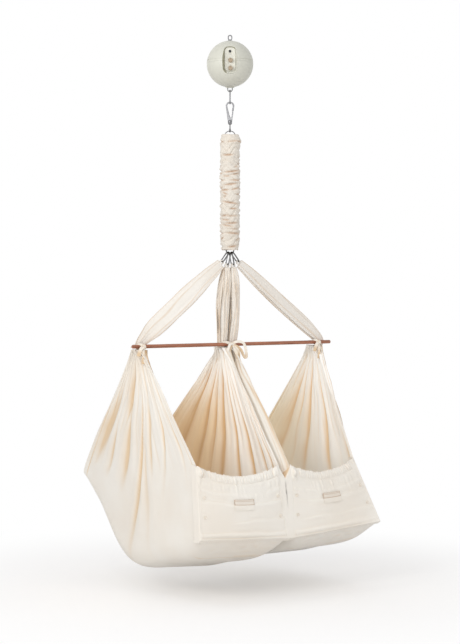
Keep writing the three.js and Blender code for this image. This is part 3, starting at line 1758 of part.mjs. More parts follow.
for (let place = 0; place < clipCount; place += 1) {
  const clip = new THREE.Group();
  const along = clipDirection(place);
  const top = along.clone().multiplyScalar(clipStart).add(at(0, 0, bottomRingZ));
  clip.position.copy(top);
  const outward = at(0, 1, 0);
  const normal = new THREE.Vector3().crossVectors(outward, along).normalize();
  clip.setRotationFromMatrix(new THREE.Matrix4().makeBasis(outward, normal, along.clone().negate()));
  const number = place + 1;
  clip.add(mesh(
    `carabiner_${number}`,
    clipBody(clipLength, clipWidth, clipWireRadius, clipGateLength, clipWireSides),
    darkSteel,
  ));
  clip.add(mesh(
    `carabiner_gate_${number}`,
    clipGatePin(clipLength, clipWidth, clipWireRadius, clipGateLength),
    steel,
  ));
  part.add(clip);
}

const outerStrap = {
  width: strapFlatWidth,
  thickness: strapFlatThickness,
  foot: strapFootWidth,
  belly: 0,
};
const centreStrap = {
  width: strapCentreWidth,
  thickness: strapCentreThickness,
  foot: centreTieWidth,
  belly: strapCentreBelly,
};
part.add(mesh('strap_left', strap(0, tieLeftX, outerStrap), cotton));
part.add(mesh('strap_centre_left', strap(1, -centreTieHalf, centreStrap), cotton));
part.add(mesh('strap_centre_right', strap(2, centreTieHalf, centreStrap), cotton));
part.add(mesh('strap_right', strap(3, tieRightX, outerStrap), cotton));
part.add(mesh('spreader_bar', spreaderBar(), reddishWood));
part.add(mesh('tie_left', plainTie(tieLeftX), tape));
part.add(mesh('tie_centre', bowTie(0), tape));
part.add(mesh('tie_right', plainTie(tieRightX), tape));

for (const [side, spec] of [['left', leftSling], ['right', rightSling]]) {
  const panel = frontPanel(spec);
  part.add(mesh(`${side}_sling`, slingSheet(spec).geometry, cotton));
  part.add(mesh(`${side}_front_panel`, panel.geometry, cotton));
  part.add(mesh(`${side}_mattress`, mattress(spec), paddedCotton));
  part.add(mesh(`${side}_label`, onPanel(panel, label(), ...labelPlaceShares), paddedCotton));
  buttonPlaceShares.forEach(([p, q], i) => {
    part.add(mesh(`${side}_button_${i + 1}`, onPanel(panel, button(), p, q), buttonShell));
  });
}

export default part;
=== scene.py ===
"""The looks of a hanging twin baby cradle: motor ball, chain of hooks, covered spring, wooden bar
and two cotton slings with front panels. Sizes are written in millimetres and become metres in the
meshes. X runs along the bar, the front looks towards -Y and Z is up."""

import math

import bmesh
import bpy
import numpy as np
from mathutils import Matrix, Vector, noise


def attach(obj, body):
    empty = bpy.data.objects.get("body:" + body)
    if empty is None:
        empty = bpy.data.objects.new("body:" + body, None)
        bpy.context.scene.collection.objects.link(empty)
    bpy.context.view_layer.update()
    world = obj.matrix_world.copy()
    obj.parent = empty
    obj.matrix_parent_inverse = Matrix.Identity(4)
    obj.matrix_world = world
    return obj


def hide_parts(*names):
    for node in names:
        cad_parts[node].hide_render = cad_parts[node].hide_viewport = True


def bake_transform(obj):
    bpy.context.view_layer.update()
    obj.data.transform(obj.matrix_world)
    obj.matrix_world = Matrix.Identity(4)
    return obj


MM = 0.001
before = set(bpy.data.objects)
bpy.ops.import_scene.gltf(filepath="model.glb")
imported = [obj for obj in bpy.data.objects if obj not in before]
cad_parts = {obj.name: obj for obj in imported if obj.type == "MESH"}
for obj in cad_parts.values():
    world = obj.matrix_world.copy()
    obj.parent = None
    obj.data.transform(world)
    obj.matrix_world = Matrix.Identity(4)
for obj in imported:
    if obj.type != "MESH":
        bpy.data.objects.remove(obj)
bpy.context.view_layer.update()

# Camera of the photograph: six metres off, 35 degrees round from the front, level with the straps.

PICTURE_HEIGHT = 644
FOCAL_PIXELS = 1776
HORIZON_PIXEL = 278
CAMERA_TURN = math.radians(35)
CAMERA_DISTANCE = 6.0
CAMERA_HEIGHT = -0.8176


def set_camera():
    data = bpy.data.cameras.new("camera")
    data.sensor_fit = "VERTICAL"
    data.sensor_height = 36
    data.lens = FOCAL_PIXELS / PICTURE_HEIGHT * data.sensor_height
    data.shift_y = (HORIZON_PIXEL - PICTURE_HEIGHT / 2) / PICTURE_HEIGHT
    camera = bpy.data.objects.new("camera", data)
    bpy.context.scene.collection.objects.link(camera)
    camera.location = (
        -math.sin(CAMERA_TURN) * CAMERA_DISTANCE,
        -math.cos(CAMERA_TURN) * CAMERA_DISTANCE,
        CAMERA_HEIGHT,
    )
    camera.rotation_euler = (math.pi / 2, 0, -CAMERA_TURN)
    bpy.context.scene.camera = camera


set_camera()

# Sizes, in millimetres, as the frame has them

MOTOR_TURN = math.radians(-35)
BALL_RADIUS = 78.5
BALL_Z = -94.8
BAR_Z = -1041.4
BAR_RADIUS = 6.25
BAR_LEFT_X, BAR_RIGHT_X = -388, 428
BUNDLE_Y = 15.85
NECK_Z = BAR_Z - 11
TIE_LEFT_X, TIE_RIGHT_X = -350, 372
CENTRE_TIE = 20
RING_Z = -721.4
TOP_RING_Z = -339.4
COVER_TOP_Z, COVER_BOTTOM_Z = -333.9, -721.9

# Small helpers


def smooth(share):
    held = np.clip(share, 0, 1)
    return held * held * (3 - 2 * held)


def drift(x, y, seed, size=1.0):
    """Slow even noise between about -1 and 1 over two directions."""
    x, y = np.broadcast_arrays(np.asarray(x, float), np.asarray(y, float))
    flat = [noise.noise(Vector((a / size, b / size, seed * 7.31))) for a, b in zip(x.ravel(), y.ravel())]
    return np.array(flat).reshape(x.shape) * 1.6


def ridge(place, middle, width):
    """A smooth hill of height 1 over the middle."""
    return np.exp(-(((place - middle) / width) ** 2))


def circle(radius, angles, x=0, y=0):
    """Points of a circle's arc, by angles in radians."""
    return [(x + radius * math.cos(a), y + radius * math.sin(a)) for a in angles]


def unit(vectors):
    return vectors / np.maximum(np.linalg.norm(vectors, axis=-1, keepdims=True), 1e-9)


def linear(red, green, blue):
    """A colour read off as 0 to 255, as the shader wants it."""
    shares = (c / 255 for c in (red, green, blue))
    return tuple(c / 12.92 if c < 10 / 255 else ((c + 0.055) / 1.055) ** 2.4 for c in shares) + (1,)


def shown(name, data):
    thing = bpy.data.objects.new(name, data)
    bpy.context.scene.collection.objects.link(thing)
    return thing


def extruded(bm, faces, step):
    """Extrudes the faces by a step in millimetres and returns the moved points."""
    grown = bmesh.ops.extrude_face_region(bm, geom=faces)
    moved = [v for v in grown["geom"] if isinstance(v, bmesh.types.BMVert)]
    bmesh.ops.translate(bm, vec=Vector(step) * MM, verts=moved)
    return moved


def block(name, size, middle):
    bm = bmesh.new()
    bmesh.ops.create_cube(bm, size=1)
    bmesh.ops.scale(bm, vec=Vector(size) * MM, verts=bm.verts)
    bmesh.ops.translate(bm, vec=Vector(middle) * MM, verts=bm.verts)
    return made(name, bm)


def made(name, bm, sharp=40):
    mesh = bpy.data.meshes.new(name)
    bm.to_mesh(mesh)
    bm.free()
    return placed(name, mesh, sharp)


def placed(name, mesh, sharp=40):
    mesh.shade_smooth()
    if sharp:
        mesh.set_sharp_from_angle(angle=math.radians(sharp))
    return shown(name, mesh)


def settle(piece):
    """Makes the piece's modifiers part of its mesh."""
    graph = bpy.context.evaluated_depsgraph_get()
    mesh = bpy.data.meshes.new_from_object(piece.evaluated_get(graph), depsgraph=graph)
    piece.modifiers.clear()
    piece.data = mesh
    return piece


def thicken(piece, thickness, rim_material=0, inner_material=0):
    wall = piece.modifiers.new("wall", "SOLIDIFY")
    wall.thickness = thickness * MM
    wall.offset = 0
    wall.material_offset = inner_material
    wall.material_offset_rim = rim_material
    return settle(piece)


def cloth(name, points, width, length, close_across=False, sharp=0, painted_shade=None):
    """A sheet laid over rows of points in millimetres, with its own UV map in metres.

    The last argument says from 0 to 1 how much shade is painted at each point, mostly in folds, creases and
    gaps; the finishes blend to their painted shade colour there."""
    rows, columns = points.shape[:2]
    painted_shade = np.zeros((rows, columns)) if painted_shade is None else painted_shade
    bm = bmesh.new()
    shade_share = bm.verts.layers.float.new("painted_shade")
    bmesh.ops.create_grid(bm, x_segments=columns - 1, y_segments=rows - 1, size=0.5)
    uv = bm.loops.layers.uv.new("UVMap")
    for face in bm.faces:
        for loop in face.loops:
            loop[uv].uv = ((loop.vert.co.x + 0.5) * width * MM, (loop.vert.co.y + 0.5) * length * MM)
    for vert in bm.verts:
        column = round((vert.co.x + 0.5) * (columns - 1))
        row = round((vert.co.y + 0.5) * (rows - 1))
        vert.co = points[row, column] * MM
        vert[shade_share] = painted_shade[row, column]
    if close_across:
        bmesh.ops.remove_doubles(bm, verts=bm.verts, dist=1e-6)
        bmesh.ops.recalc_face_normals(bm, faces=bm.faces)
    return made(name, bm, sharp)


def spun(name, profile, move, turn=Matrix.Identity(4), steps=64, sharp=40):
    """A turned piece from (radius, height) points; the profile ends on the axis or closes."""
    bm = bmesh.new()
    verts = [bm.verts.new((radius * MM, 0, height * MM)) for radius, height in profile]
    edges = [bm.edges.new(pair) for pair in zip(verts, verts[1:])]
    if profile[0][0] > 0:
        edges.append(bm.edges.new((verts[-1], verts[0])))
    axis = dict(cent=(0, 0, 0), axis=(0, 0, 1))
    bmesh.ops.spin(bm, geom=verts + edges, angle=2 * math.pi, steps=steps, use_merge=True, **axis)
    bmesh.ops.remove_doubles(bm, verts=bm.verts, dist=1e-7)
    bmesh.ops.recalc_face_normals(bm, faces=bm.faces)
    bmesh.ops.transform(bm, matrix=Matrix.Translation(Vector(move) * MM) @ turn, verts=bm.verts)
    return made(name, bm, sharp)


def wire(name, points, radius, closed=False, sides=3):
    """A round wire along points in millimetres."""
    curve = bpy.data.curves.new(name, "CURVE")
    curve.dimensions = "3D"
    curve.bevel_depth = radius * MM
    curve.bevel_resolution = sides
    curve.use_fill_caps = not closed
    spline = curve.splines.new("POLY")
    spline.points.add(len(points) - 1)
    for place, point in zip(spline.points, points):
        place.co = (*(c * MM for c in point), 1)
    spline.use_cyclic_u = closed
    holder = shown(name, curve)
    bpy.context.view_layer.update()
    mesh = bpy.data.meshes.new_from_object(holder.evaluated_get(bpy.context.evaluated_depsgraph_get()))
    bpy.data.objects.remove(holder)
    bm = bmesh.new()
    bm.from_mesh(mesh)
    bmesh.ops.remove_doubles(bm, verts=bm.verts, dist=1e-7)
    bmesh.ops.recalc_face_normals(bm, faces=bm.faces)
    return made(name, bm, 50)


def joined(name, *pieces):
    """Puts several meshes into one piece, each with the materials it has."""
    bm = bmesh.new()
    materials = []
    for piece in pieces:
        start = len(bm.faces)
        bm.from_mesh(piece.data)
        bm.faces.ensure_lookup_table()
        slots = [m for m in piece.data.materials]
        for face in bm.faces[start:]:
            material = slots[face.material_index] if slots else None
            if material not in materials:
                materials.append(material)
            face.material_index = materials.index(material)
        bpy.data.objects.remove(piece)
    whole = made(name, bm, 0)
    for material in materials:
        if material:
            whole.data.materials.append(material)
    whole.data.set_sharp_from_angle(angle=math.radians(45))
    return whole


def turned_by_motor(points):
    """Points drawn square to the recess, turned with the motor."""
    turn = Matrix.Rotation(MOTOR_TURN, 3, "Z")
    return [turn @ Vector(point) for point in points]


def turned_piece(piece):
    piece.data.transform(Matrix.Rotation(MOTOR_TURN, 4, "Z"))
    return piece


def finished(piece, *materials):
    piece.data.materials.clear()
    for material in materials:
        piece.data.materials.append(material)
    return piece


def carve(piece, tool, operation="DIFFERENCE"):
    """Cuts the piece with a tool, or joins it to it, and removes the tool."""
    change = piece.modifiers.new("change", "BOOLEAN")
    change.operation, change.object, change.solver = operation, tool, "EXACT"
    settle(piece)
    bpy.data.objects.remove(tool)
    return piece


def dressed(piece, body, slot, *materials, replaces=()):
    for material in materials:
        piece.data.materials.append(material)
    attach(piece, body)
    if replaces:
        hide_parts(*replaces)
    return piece


# Shader groups shared by the finishes


def new_group(name, inputs, outputs):
    tree = bpy.data.node_groups.new(name, "ShaderNodeTree")
    for label, kind, value in inputs:
        socket = tree.interface.new_socket(name=label, in_out="INPUT", socket_type=kind)
        if value is not None:
            socket.default_value = value
    for label, kind in outputs:
        tree.interface.new_socket(name=label, in_out="OUTPUT", socket_type=kind)
    return tree


def node(tree, kind, inputs=None, **settings):
    one = tree.nodes.new(kind)
    for key, value in settings.items():
        setattr(one, key, value)
    for key, value in (inputs or {}).items():
        if isinstance(value, bpy.types.NodeSocket):
            tree.links.new(value, one.inputs[key])
        else:
            one.inputs[key].default_value = value
    return one


def sum_of(tree, operation, a, b=None):
    inputs = {0: a} if b is None else {0: a, 1: b}
    return node(tree, "ShaderNodeMath", inputs, operation=operation).outputs[0]


def ramp(tree, value, low, high, to_low=0.0, to_high=1.0):
    inputs = {"Value": value, "From Min": low, "From Max": high, "To Min": to_low, "To Max": to_high}
    return node(tree, "ShaderNodeMapRange", inputs, interpolation_type="SMOOTHSTEP").outputs[0]


def blended(tree, share, a, b, blend_type="MIX"):
    one = node(tree, "ShaderNodeMix", data_type="RGBA", blend_type=blend_type)
    for socket, value in ((one.inputs[0], share), (one.inputs[6], a), (one.inputs[7], b)):
        if isinstance(value, bpy.types.NodeSocket):
            tree.links.new(value, socket)
        else:
            socket.default_value = value
    return one.outputs[2]


def speckle(tree, place, scale, detail, distortion=0.0):
    """Noise over the first output of a node that gives a place."""
    inputs = {"Vector": place.outputs[0], "Scale": scale, "Detail": detail, "Distortion": distortion}
    return node(tree, "ShaderNodeTexNoise", inputs).outputs[0]


def stretched(tree, vector, scale):
    return node(tree, "ShaderNodeMapping", {"Vector": vector, "Scale": scale})


def weave_group():
    """Plain weave from the cloth's UV map: height of the threads and slubs along them."""
    tree = new_group(
        "plain_weave",
        [("Vector", "NodeSocketVector", None), ("Threads per metre", "NodeSocketFloat", 1100.0)],
        [("Height", "NodeSocketFloat"), ("Slub", "NodeSocketFloat")],
    )
    entry = node(tree, "NodeGroupInput")
    split = node(tree, "ShaderNodeSeparateXYZ", {0: entry.outputs["Vector"]})
    waves = []
    for axis in (0, 1):
        turns = sum_of(tree, "MULTIPLY", split.outputs[axis], entry.outputs[1])
        angle = sum_of(tree, "MULTIPLY", turns, math.pi)
        waves.append((sum_of(tree, "SINE", angle), sum_of(tree, "COSINE", angle)))
    over = sum_of(tree, "MULTIPLY", waves[0][0], waves[1][1])
    under = sum_of(tree, "MULTIPLY", waves[0][1], waves[1][0])
    height = sum_of(tree, "ADD", sum_of(tree, "ABSOLUTE", over), sum_of(tree, "ABSOLUTE", under))
    slub_noise = []
    for stretch in ((900, 25, 1), (25, 900, 1)):
        slub_noise.append(speckle(tree, stretched(tree, entry.outputs["Vector"], stretch), 1.0, 1.0))
    slub = sum_of(tree, "MULTIPLY", sum_of(tree, "ADD", *slub_noise), 0.5)
    node(tree, "NodeGroupOutput", {0: height, 1: slub})
    return tree


def crumple_group():
    """Small soft creases and a slow change of tone over cloth."""
    tree = new_group(
        "soft_crumple",
        [("Vector", "NodeSocketVector", None), ("Crease size", "NodeSocketFloat", 30.0)],
        [("Height", "NodeSocketFloat"), ("Tone", "NodeSocketFloat")],
    )
    entry = node(tree, "NodeGroupInput")
    crease = speckle(tree, stretched(tree, entry.outputs[0], (1.0, 1.0, 0.35)), entry.outputs[1], 3.0, 0.6)
    tone = speckle(tree, entry, 5.0, 3.0)
    node(tree, "NodeGroupOutput", {0: crease, 1: ramp(tree, tone, 0.3, 0.7)})
    return tree


def wear_group():
    """Fine scuffs and a faint cloudiness for metal and plastic."""
    tree = new_group(
        "fine_wear",
        [
            ("Vector", "NodeSocketVector", None),
            ("Scuff size", "NodeSocketFloat", 400.0),
            ("Stretch", "NodeSocketVector", (1.0, 1.0, 1.0)),
        ],
        [("Scuff", "NodeSocketFloat"), ("Cloud", "NodeSocketFloat")],
    )
    entry = node(tree, "NodeGroupInput")
    scuff = speckle(tree, stretched(tree, entry.outputs[0], entry.outputs[2]), entry.outputs[1], 4.0)
    cloud = speckle(tree, entry, 28.0, 3.0)
    node(tree, "NodeGroupOutput", {0: scuff, 1: ramp(tree, cloud, 0.35, 0.65)})
    return tree


WEAVE, CRUMPLE, WEAR = weave_group(), crumple_group(), wear_group()


def new_finish(name, roughness, metallic=0.0, **constants):
    material = bpy.data.materials.new(name)
    material.use_nodes = True
    tree = material.node_tree
    shader = tree.nodes["Principled BSDF"]
    shader.inputs["Roughness"].default_value = roughness
    shader.inputs["Metallic"].default_value = metallic
    for key, value in constants.items():
        shader.inputs[key.replace("_", " ")].default_value = value
    coordinates = node(tree, "ShaderNodeTexCoord")
    return material, tree, shader, coordinates


def bumped(tree, shader, height, strength, distance, before=None):
    inputs = {"Height": height, "Strength": strength, "Distance": distance}
    if before is not None:
        inputs["Normal"] = before
    bump = node(tree, "ShaderNodeBump", inputs)
    tree.links.new(bump.outputs[0], shader.inputs["Normal"])
    return bump.outputs[0]


def cotton_finish(
    name, light, shade, threads=1100.0, crease=30.0, crease_depth=0.0016,
    fold_shade=linear(222, 194, 158), front=None, cream=(0, 1),
):
    """Woven cotton from light to shade, with painted shade in its folds; given front, it also gets painted
    shade deeper inside the sling and is like front at the sheet's first rows and near the ties.
    """
    fuzz = dict(Sheen_Weight=0.25, Sheen_Roughness=0.5, Specular_IOR_Level=0.25)
    material, tree, shader, coordinates = new_finish(name, 0.92, **fuzz)
    inputs = {"Vector": coordinates.outputs["UV"], "Threads per metre": threads}
    weave = node(tree, "ShaderNodeGroup", inputs, node_tree=WEAVE)
    inputs = {"Vector": coordinates.outputs["Object"], "Crease size": crease}
    crumple = node(tree, "ShaderNodeGroup", inputs, node_tree=CRUMPLE)
    tone = blended(tree, crumple.outputs["Tone"], light, shade)
    thread = ramp(tree, weave.outputs["Slub"], 0.35, 0.65, 0.0, 0.025)
    darker = tuple(c * 0.72 for c in light[:3]) + (1,)
    tone = blended(tree, thread, tone, darker)
    # Painted shade: the inner face goes from the front colour at the first rows to its tan deeper inside the
    # sling, and stays near the front colour by the ties.
    if front:
        place = node(tree, "ShaderNodeSeparateXYZ", {0: coordinates.outputs["UV"]})
        far = ramp(tree, place.outputs[1], *cream)
        from_tie = sum_of(tree, "MINIMUM", place.outputs[0], sum_of(tree, "SUBTRACT", 1.9, place.outputs[0]))
        far = sum_of(tree, "MULTIPLY", far, ramp(tree, from_tie, 0.06, 0.4, 0.06, 1.0))
        tone = blended(tree, far, front, tone)
    # Painted shade: the colour blends to the fold shade colour where the cloth's shade layer says so.
    painted_shade = node(tree, "ShaderNodeAttribute", attribute_name="painted_shade").outputs["Fac"]
    tree.links.new(blended(tree, painted_shade, tone, fold_shade), shader.inputs["Base Color"])
    first = bumped(tree, shader, crumple.outputs["Height"], 0.55, crease_depth)
    bumped(tree, shader, weave.outputs["Height"], 0.12, 0.00005, first)
    return material


# In each cotton the warm tan colour is painted shade for its folds, creases and gaps; where none is given
# the default tan is used.
COTTON = cotton_finish(
    "undyed_cotton", linear(243, 238, 229), linear(239, 231, 219), fold_shade=linear(226, 201, 168)
)
# The inner faces: the cotton with painted shade, tan deeper inside the sling and cream as the front colour
# at the front rows.
SHADED_INNER_FACE = cotton_finish(
    "inner_face_painted_shade", linear(249, 224, 186), linear(244, 215, 174),
    fold_shade=linear(222, 186, 142), front=linear(254, 251, 245), cream=(0.25, 0.5),
)
# Painted light: a slightly lighter copy of the cotton, for the right sling's outer face where the left sling
# shades it.
LIGHTER_COTTON = cotton_finish(
    "cotton_painted_lighter", linear(243, 239, 231), linear(240, 234, 224), fold_shade=linear(224, 198, 165)
)
# Painted shade as on the left sling's inner face, in a lighter copy that is painted light for the right
# sling's shaded inside.
LIGHTER_SHADED_INNER_FACE = cotton_finish(
    "inner_face_painted_shade_lighter", linear(254, 240, 212), linear(251, 232, 200),
    fold_shade=linear(238, 208, 170), front=linear(254, 252, 247), cream=(0.3, 0.68),
)
COVER_COTTON = cotton_finish(
    "ruched_cotton", linear(226, 219, 208), linear(221, 212, 199),
    crease=60.0, crease_depth=0.0002, fold_shade=linear(198, 164, 134),
)
STRAP_COTTON = cotton_finish(
    "gathered_cotton", linear(240, 235, 227), linear(236, 228, 217),
    crease=40.0, crease_depth=0.0005, fold_shade=linear(214, 182, 144),
)
TAPE = cotton_finish(
    "cotton_tape", linear(246, 241, 232), linear(240, 233, 221),
    threads=1600.0, crease=70.0, crease_depth=0.0006,
)
PAD_COTTON = cotton_finish("quilted_cotton", linear(240, 235, 226), linear(233, 226, 214), crease=22.0)
LABEL_COTTON = cotton_finish(
    "label_tape", linear(242, 236, 226), linear(237, 228, 215),
    threads=2000.0, crease=60.0, crease_depth=0.0006, fold_shade=linear(190, 160, 132),
)


def worn_finish(name, colour, roughness, metallic, scuffs, darkening, clouds, gloss, bump):
    """A hard surface with scuffs; gloss says how far they lower and raise the roughness."""
    material, tree, shader, coordinates = new_finish(name, roughness, metallic)
    inputs = {"Vector": coordinates.outputs["Object"], "Scuff size": scuffs}
    wear = node(tree, "ShaderNodeGroup", inputs, node_tree=WEAR)
    darker = tuple(c * darkening for c in colour[:3]) + (1,)
    cloud = sum_of(tree, "MULTIPLY", wear.outputs["Cloud"], clouds)
    tree.links.new(blended(tree, cloud, colour, darker), shader.inputs["Base Color"])
    shine = ramp(tree, wear.outputs["Scuff"], 0.3, 0.7, roughness - gloss[0], roughness + gloss[1])
    tree.links.new(shine, shader.inputs["Roughness"])
    bumped(tree, shader, wear.outputs["Scuff"], *bump)
    return material


def plastic_finish(name, colour, roughness, scuffs=900.0, clouds=0.24):
    return worn_finish(name, colour, roughness, 0.0, scuffs, 0.8, clouds, (0.06, 0.08), (0.12, 0.0002))


def metal_finish(name, colour, roughness):
    return worn_finish(name, colour, roughness, 1.0, 350.0, 0.55, 0.35, (0.08, 0.14), (0.15, 0.0001))


SHELL = plastic_finish("moulded_shell", linear(205, 204, 192), 0.42, clouds=0.12)
# Painted shade for the recess's walls that turn away from the light.
RECESS_PAINTED_SHADE = plastic_finish("recess_painted_shade", linear(160, 157, 132), 0.5, clouds=0.12)
BAND = plastic_finish("moulded_band", linear(190, 182, 170), 0.5)
PANEL = plastic_finish("recess_floor", linear(222, 220, 208), 0.5)
KNOB = plastic_finish("dial_plastic", linear(168, 150, 126), 0.45)
DIAL_MARK = plastic_finish("dial_mark", linear(84, 74, 64), 0.5)
BLACK = plastic_finish("black_moulding", linear(34, 34, 36), 0.4)
BOARD = plastic_finish("board_laminate", linear(47, 91, 64), 0.45, 500.0)
STEEL = metal_finish("plated_steel", linear(134, 134, 136), 0.3)
DARK_STEEL = metal_finish("dark_plated_steel", linear(118, 118, 118), 0.38)
WIRE_STEEL = metal_finish("spring_wire", linear(150, 150, 152), 0.32)
BUTTON = plastic_finish("shell_button", linear(238, 228, 214), 0.25)
WEBBING = cotton_finish("woven_webbing", linear(64, 64, 66), linear(52, 52, 54), threads=1500.0)


def wood_finish():
    coat = dict(Coat_Weight=0.15, Coat_Roughness=0.35)
    material, tree, shader, coordinates = new_finish("oiled_hardwood", 0.42, **coat)
    place = coordinates.outputs["Object"]
    grain = speckle(tree, stretched(tree, place, (6.0, 180.0, 180.0)), 1.0, 6.0, 0.8)
    pores = speckle(tree, stretched(tree, place, (45.0, 1500.0, 1500.0)), 1.0, 2.0)
    tone = blended(tree, ramp(tree, grain, 0.3, 0.7), linear(176, 111, 80), linear(134, 80, 55))
    spots = ramp(tree, pores, 0.58, 0.72, 0.0, 0.55)
    tree.links.new(blended(tree, spots, tone, linear(92, 44, 28)), shader.inputs["Base Color"])
    tree.links.new(ramp(tree, grain, 0.3, 0.7, 0.36, 0.52), shader.inputs["Roughness"])
    bumped(tree, shader, pores, 0.25, 0.0002)
    return material


WOOD = wood_finish()

# Slings: one sheet from tie to tie, down a wall, across the bed and up the other wall


def guide(values, share):
    """A smooth line through evenly spaced values, read at shares from 0 to 1."""
    values = np.asarray(values, float)
    last = len(values) - 1
    place = np.clip(share, 0, 1) * last
    i = np.minimum(place.astype(int), last - 1)
    t = place - i
    before, a = values[np.maximum(i - 1, 0)], values[i]
    b, after = values[i + 1], values[np.minimum(i + 2, last)]
    slope_a, slope_b, rise = (b - before) / 2, (after - a) / 2, b - a
    second, third = 3 * rise - 2 * slope_a - slope_b, slope_a + slope_b - 2 * rise
    return a + t * (slope_a + t * (second + t * third))


# Left and right x of each sling's corners, the right wall's slant and lift, how far the bed's line
# rises between front and back, and how far rim and bed of either wall are taken up.
LEFT_SLING = dict(
    tie=(-350, -20), front=(-364, -52), bed=(-350, -10), back=(-336, -116),
    slant=0, lift=0, rise=0, taken_up=((18, 22), (4, 2)),
)
RIGHT_SLING = dict(
    tie=(20, 372), front=(-1, 312), bed=(10, 372), back=(116, 344),
    slant=70, lift=25, rise=24, taken_up=((0, 0), (0, 0)),
)
FRONT_RIM_DROP, BACK_RIM_DROP, LOWEST_DROP = 379, 444, 745
PANEL_WIDTH, PANEL_HEIGHT = 350, 235
BUTTON_PLACES = ((0.06, 0.4), (0.06, 0.68), (0.94, 0.4), (0.94, 0.68))

# Thickness of the cloths, and width and length that the UV maps of sling and panel go by
CLOTH, THIN_CLOTH, TAPE_CLOTH, LABEL_CLOTH = 1.2, 0.9, 1.1, 0.6
SLING_SHEET, PANEL_SHEET = (1900, 740), (380, 254)
DEPTH_FRONT, DEPTH_BACK = 340, 398

# How far from a corner its rounding starts: at the front, and further back at the rim and at the bed
FRONT_CUT, RIM_CUT, BED_CUT = 14, 150, 70


def depth_at(share):
    return np.where(share < 0, share * DEPTH_FRONT, share * DEPTH_BACK)


def wall_corners(sling, side, s):
    """Where a wall's tie, rim and bed corner lie at each station from front to back."""
    right = side > 0
    tie_x, front_x, bed_x, back_x = (sling[key][right] for key in ("tie", "front", "bed", "back"))
    rim_x = front_x + (tie_x - front_x) * smooth(s * 3)
    drawn = guide([0, 0.02, 0.12, 0.45, 1], s)
    x = rim_x + (back_x - rim_x) * drawn + side * 14 * guide([0, 0.7, 1, 0.6, 0], s)
    rim_drop = FRONT_RIM_DROP + (BACK_RIM_DROP - FRONT_RIM_DROP) * guide([0, 0.25, 0.55, 0.82, 1], s)
    slant = (sling["slant"] if right else 0) * (1 - smooth(s * 4))
    rim_y = depth_at(guide([-1, -0.56, 0, 0.5, 1], s)) + slant
    bed_y = depth_at(guide([-1, -0.78, -0.32, 0.28, 0.73, 1], s))
    bed_top = FRONT_RIM_DROP + PANEL_HEIGHT
    bed_drop = bed_top + (LOWEST_DROP - bed_top) * guide([0, 0.5, 0.8, 1, -0.15, -0.98], s)
    lift = (sling["lift"] if right else 0) * (1 - smooth(s * 2)) + sling["rise"] * np.sin(math.pi * s)
    tie = np.stack([np.full_like(s, tie_x), BUNDLE_Y + (s - 0.5) * 56, np.full_like(s, NECK_Z)], -1)
    rim_up, bed_up = sling["taken_up"][right]
    rim = np.stack([x, rim_y, BAR_Z - rim_drop + rim_up], -1)
    bed = np.stack([bed_x + (back_x - bed_x) * drawn, bed_y, BAR_Z - bed_drop + lift + bed_up], -1)
    return tie, rim, bed


def rounded(before, corner, after, size):
    """Points of a rounding at a corner: start, two guides with the middle between them, end."""
    to_before, to_after = before - corner, after - corner
    back, ahead = np.linalg.norm(to_before, axis=-1), np.linalg.norm(to_after, axis=-1)
    start = corner + to_before * (np.minimum(size, back * 0.48) / back)[:, None]
    end = corner + to_after * (np.minimum(size, ahead * 0.48) / ahead)[:, None]
    first, last = (start + corner) / 2, (corner + end) / 2
    return start, first, (first + last) / 2, last, end


def bend(a, b, c, steps=10):
    t = np.linspace(0, 1, steps)[:, None, None]
    return (1 - t) ** 2 * a + 2 * t * (1 - t) * b + t ** 2 * c


def sling_rows(sling, stations, steps):
    """Points of the sheet, one row for each station from the front edge to the back edge."""
    (tie_l, rim_l, bed_l), (tie_r, rim_r, bed_r) = (wall_corners(sling, side, stations) for side in (-1, 1))
    corners = [tie_l, rim_l, bed_l, bed_r, rim_r, tie_r]
    rim_cut = FRONT_CUT + (RIM_CUT - FRONT_CUT) * smooth(stations * 4)
    bed_cut = FRONT_CUT + (BED_CUT - FRONT_CUT) * smooth(stations * 5)
    sizes = [None, rim_cut, bed_cut, bed_cut, rim_cut, None]
    rounds = [None]
    rounds += [rounded(corners[i - 1], corners[i], corners[i + 1], sizes[i]) for i in range(1, 5)]
    rounds.append(None)
    sections = []
    for number, count in enumerate(steps):
        begin, finish_at = rounds[number], rounds[number + 1]
        line = []
        if begin:
            line.append(bend(begin[2], begin[3], begin[4])[:-1])
        line.append((begin[4] if begin else corners[number])[None])
        line.append((finish_at[0] if finish_at else corners[number + 1])[None])
        if finish_at:
            line.append(bend(finish_at[0], finish_at[1], finish_at[2])[1:])
        line = np.concatenate(line)
        steps_on = np.linalg.norm(np.diff(line, axis=0), axis=-1)
        length = np.concatenate([np.zeros((1, line.shape[1])), np.cumsum(steps_on, axis=0)])
        shares = np.arange(0 if number == 0 else 1, count + 1) / count
        rows = np.empty((line.shape[1], len(shares), 3))
        for row in range(line.shape[1]):
            for axis in range(3):
                rows[row, :, axis] = np.interp(shares * length[-1, row], length[:, row], line[:, row, axis])
        sections.append(rows)
    return np.concatenate(sections, axis=1)


def sheet_normals(points):
    across, along = np.gradient(points, axis=1), np.gradient(points, axis=0)
    return unit(np.cross(along, across))


SLING_STEPS = (66, 22, 40, 22, 66)
STITCH_LINE = 0.047

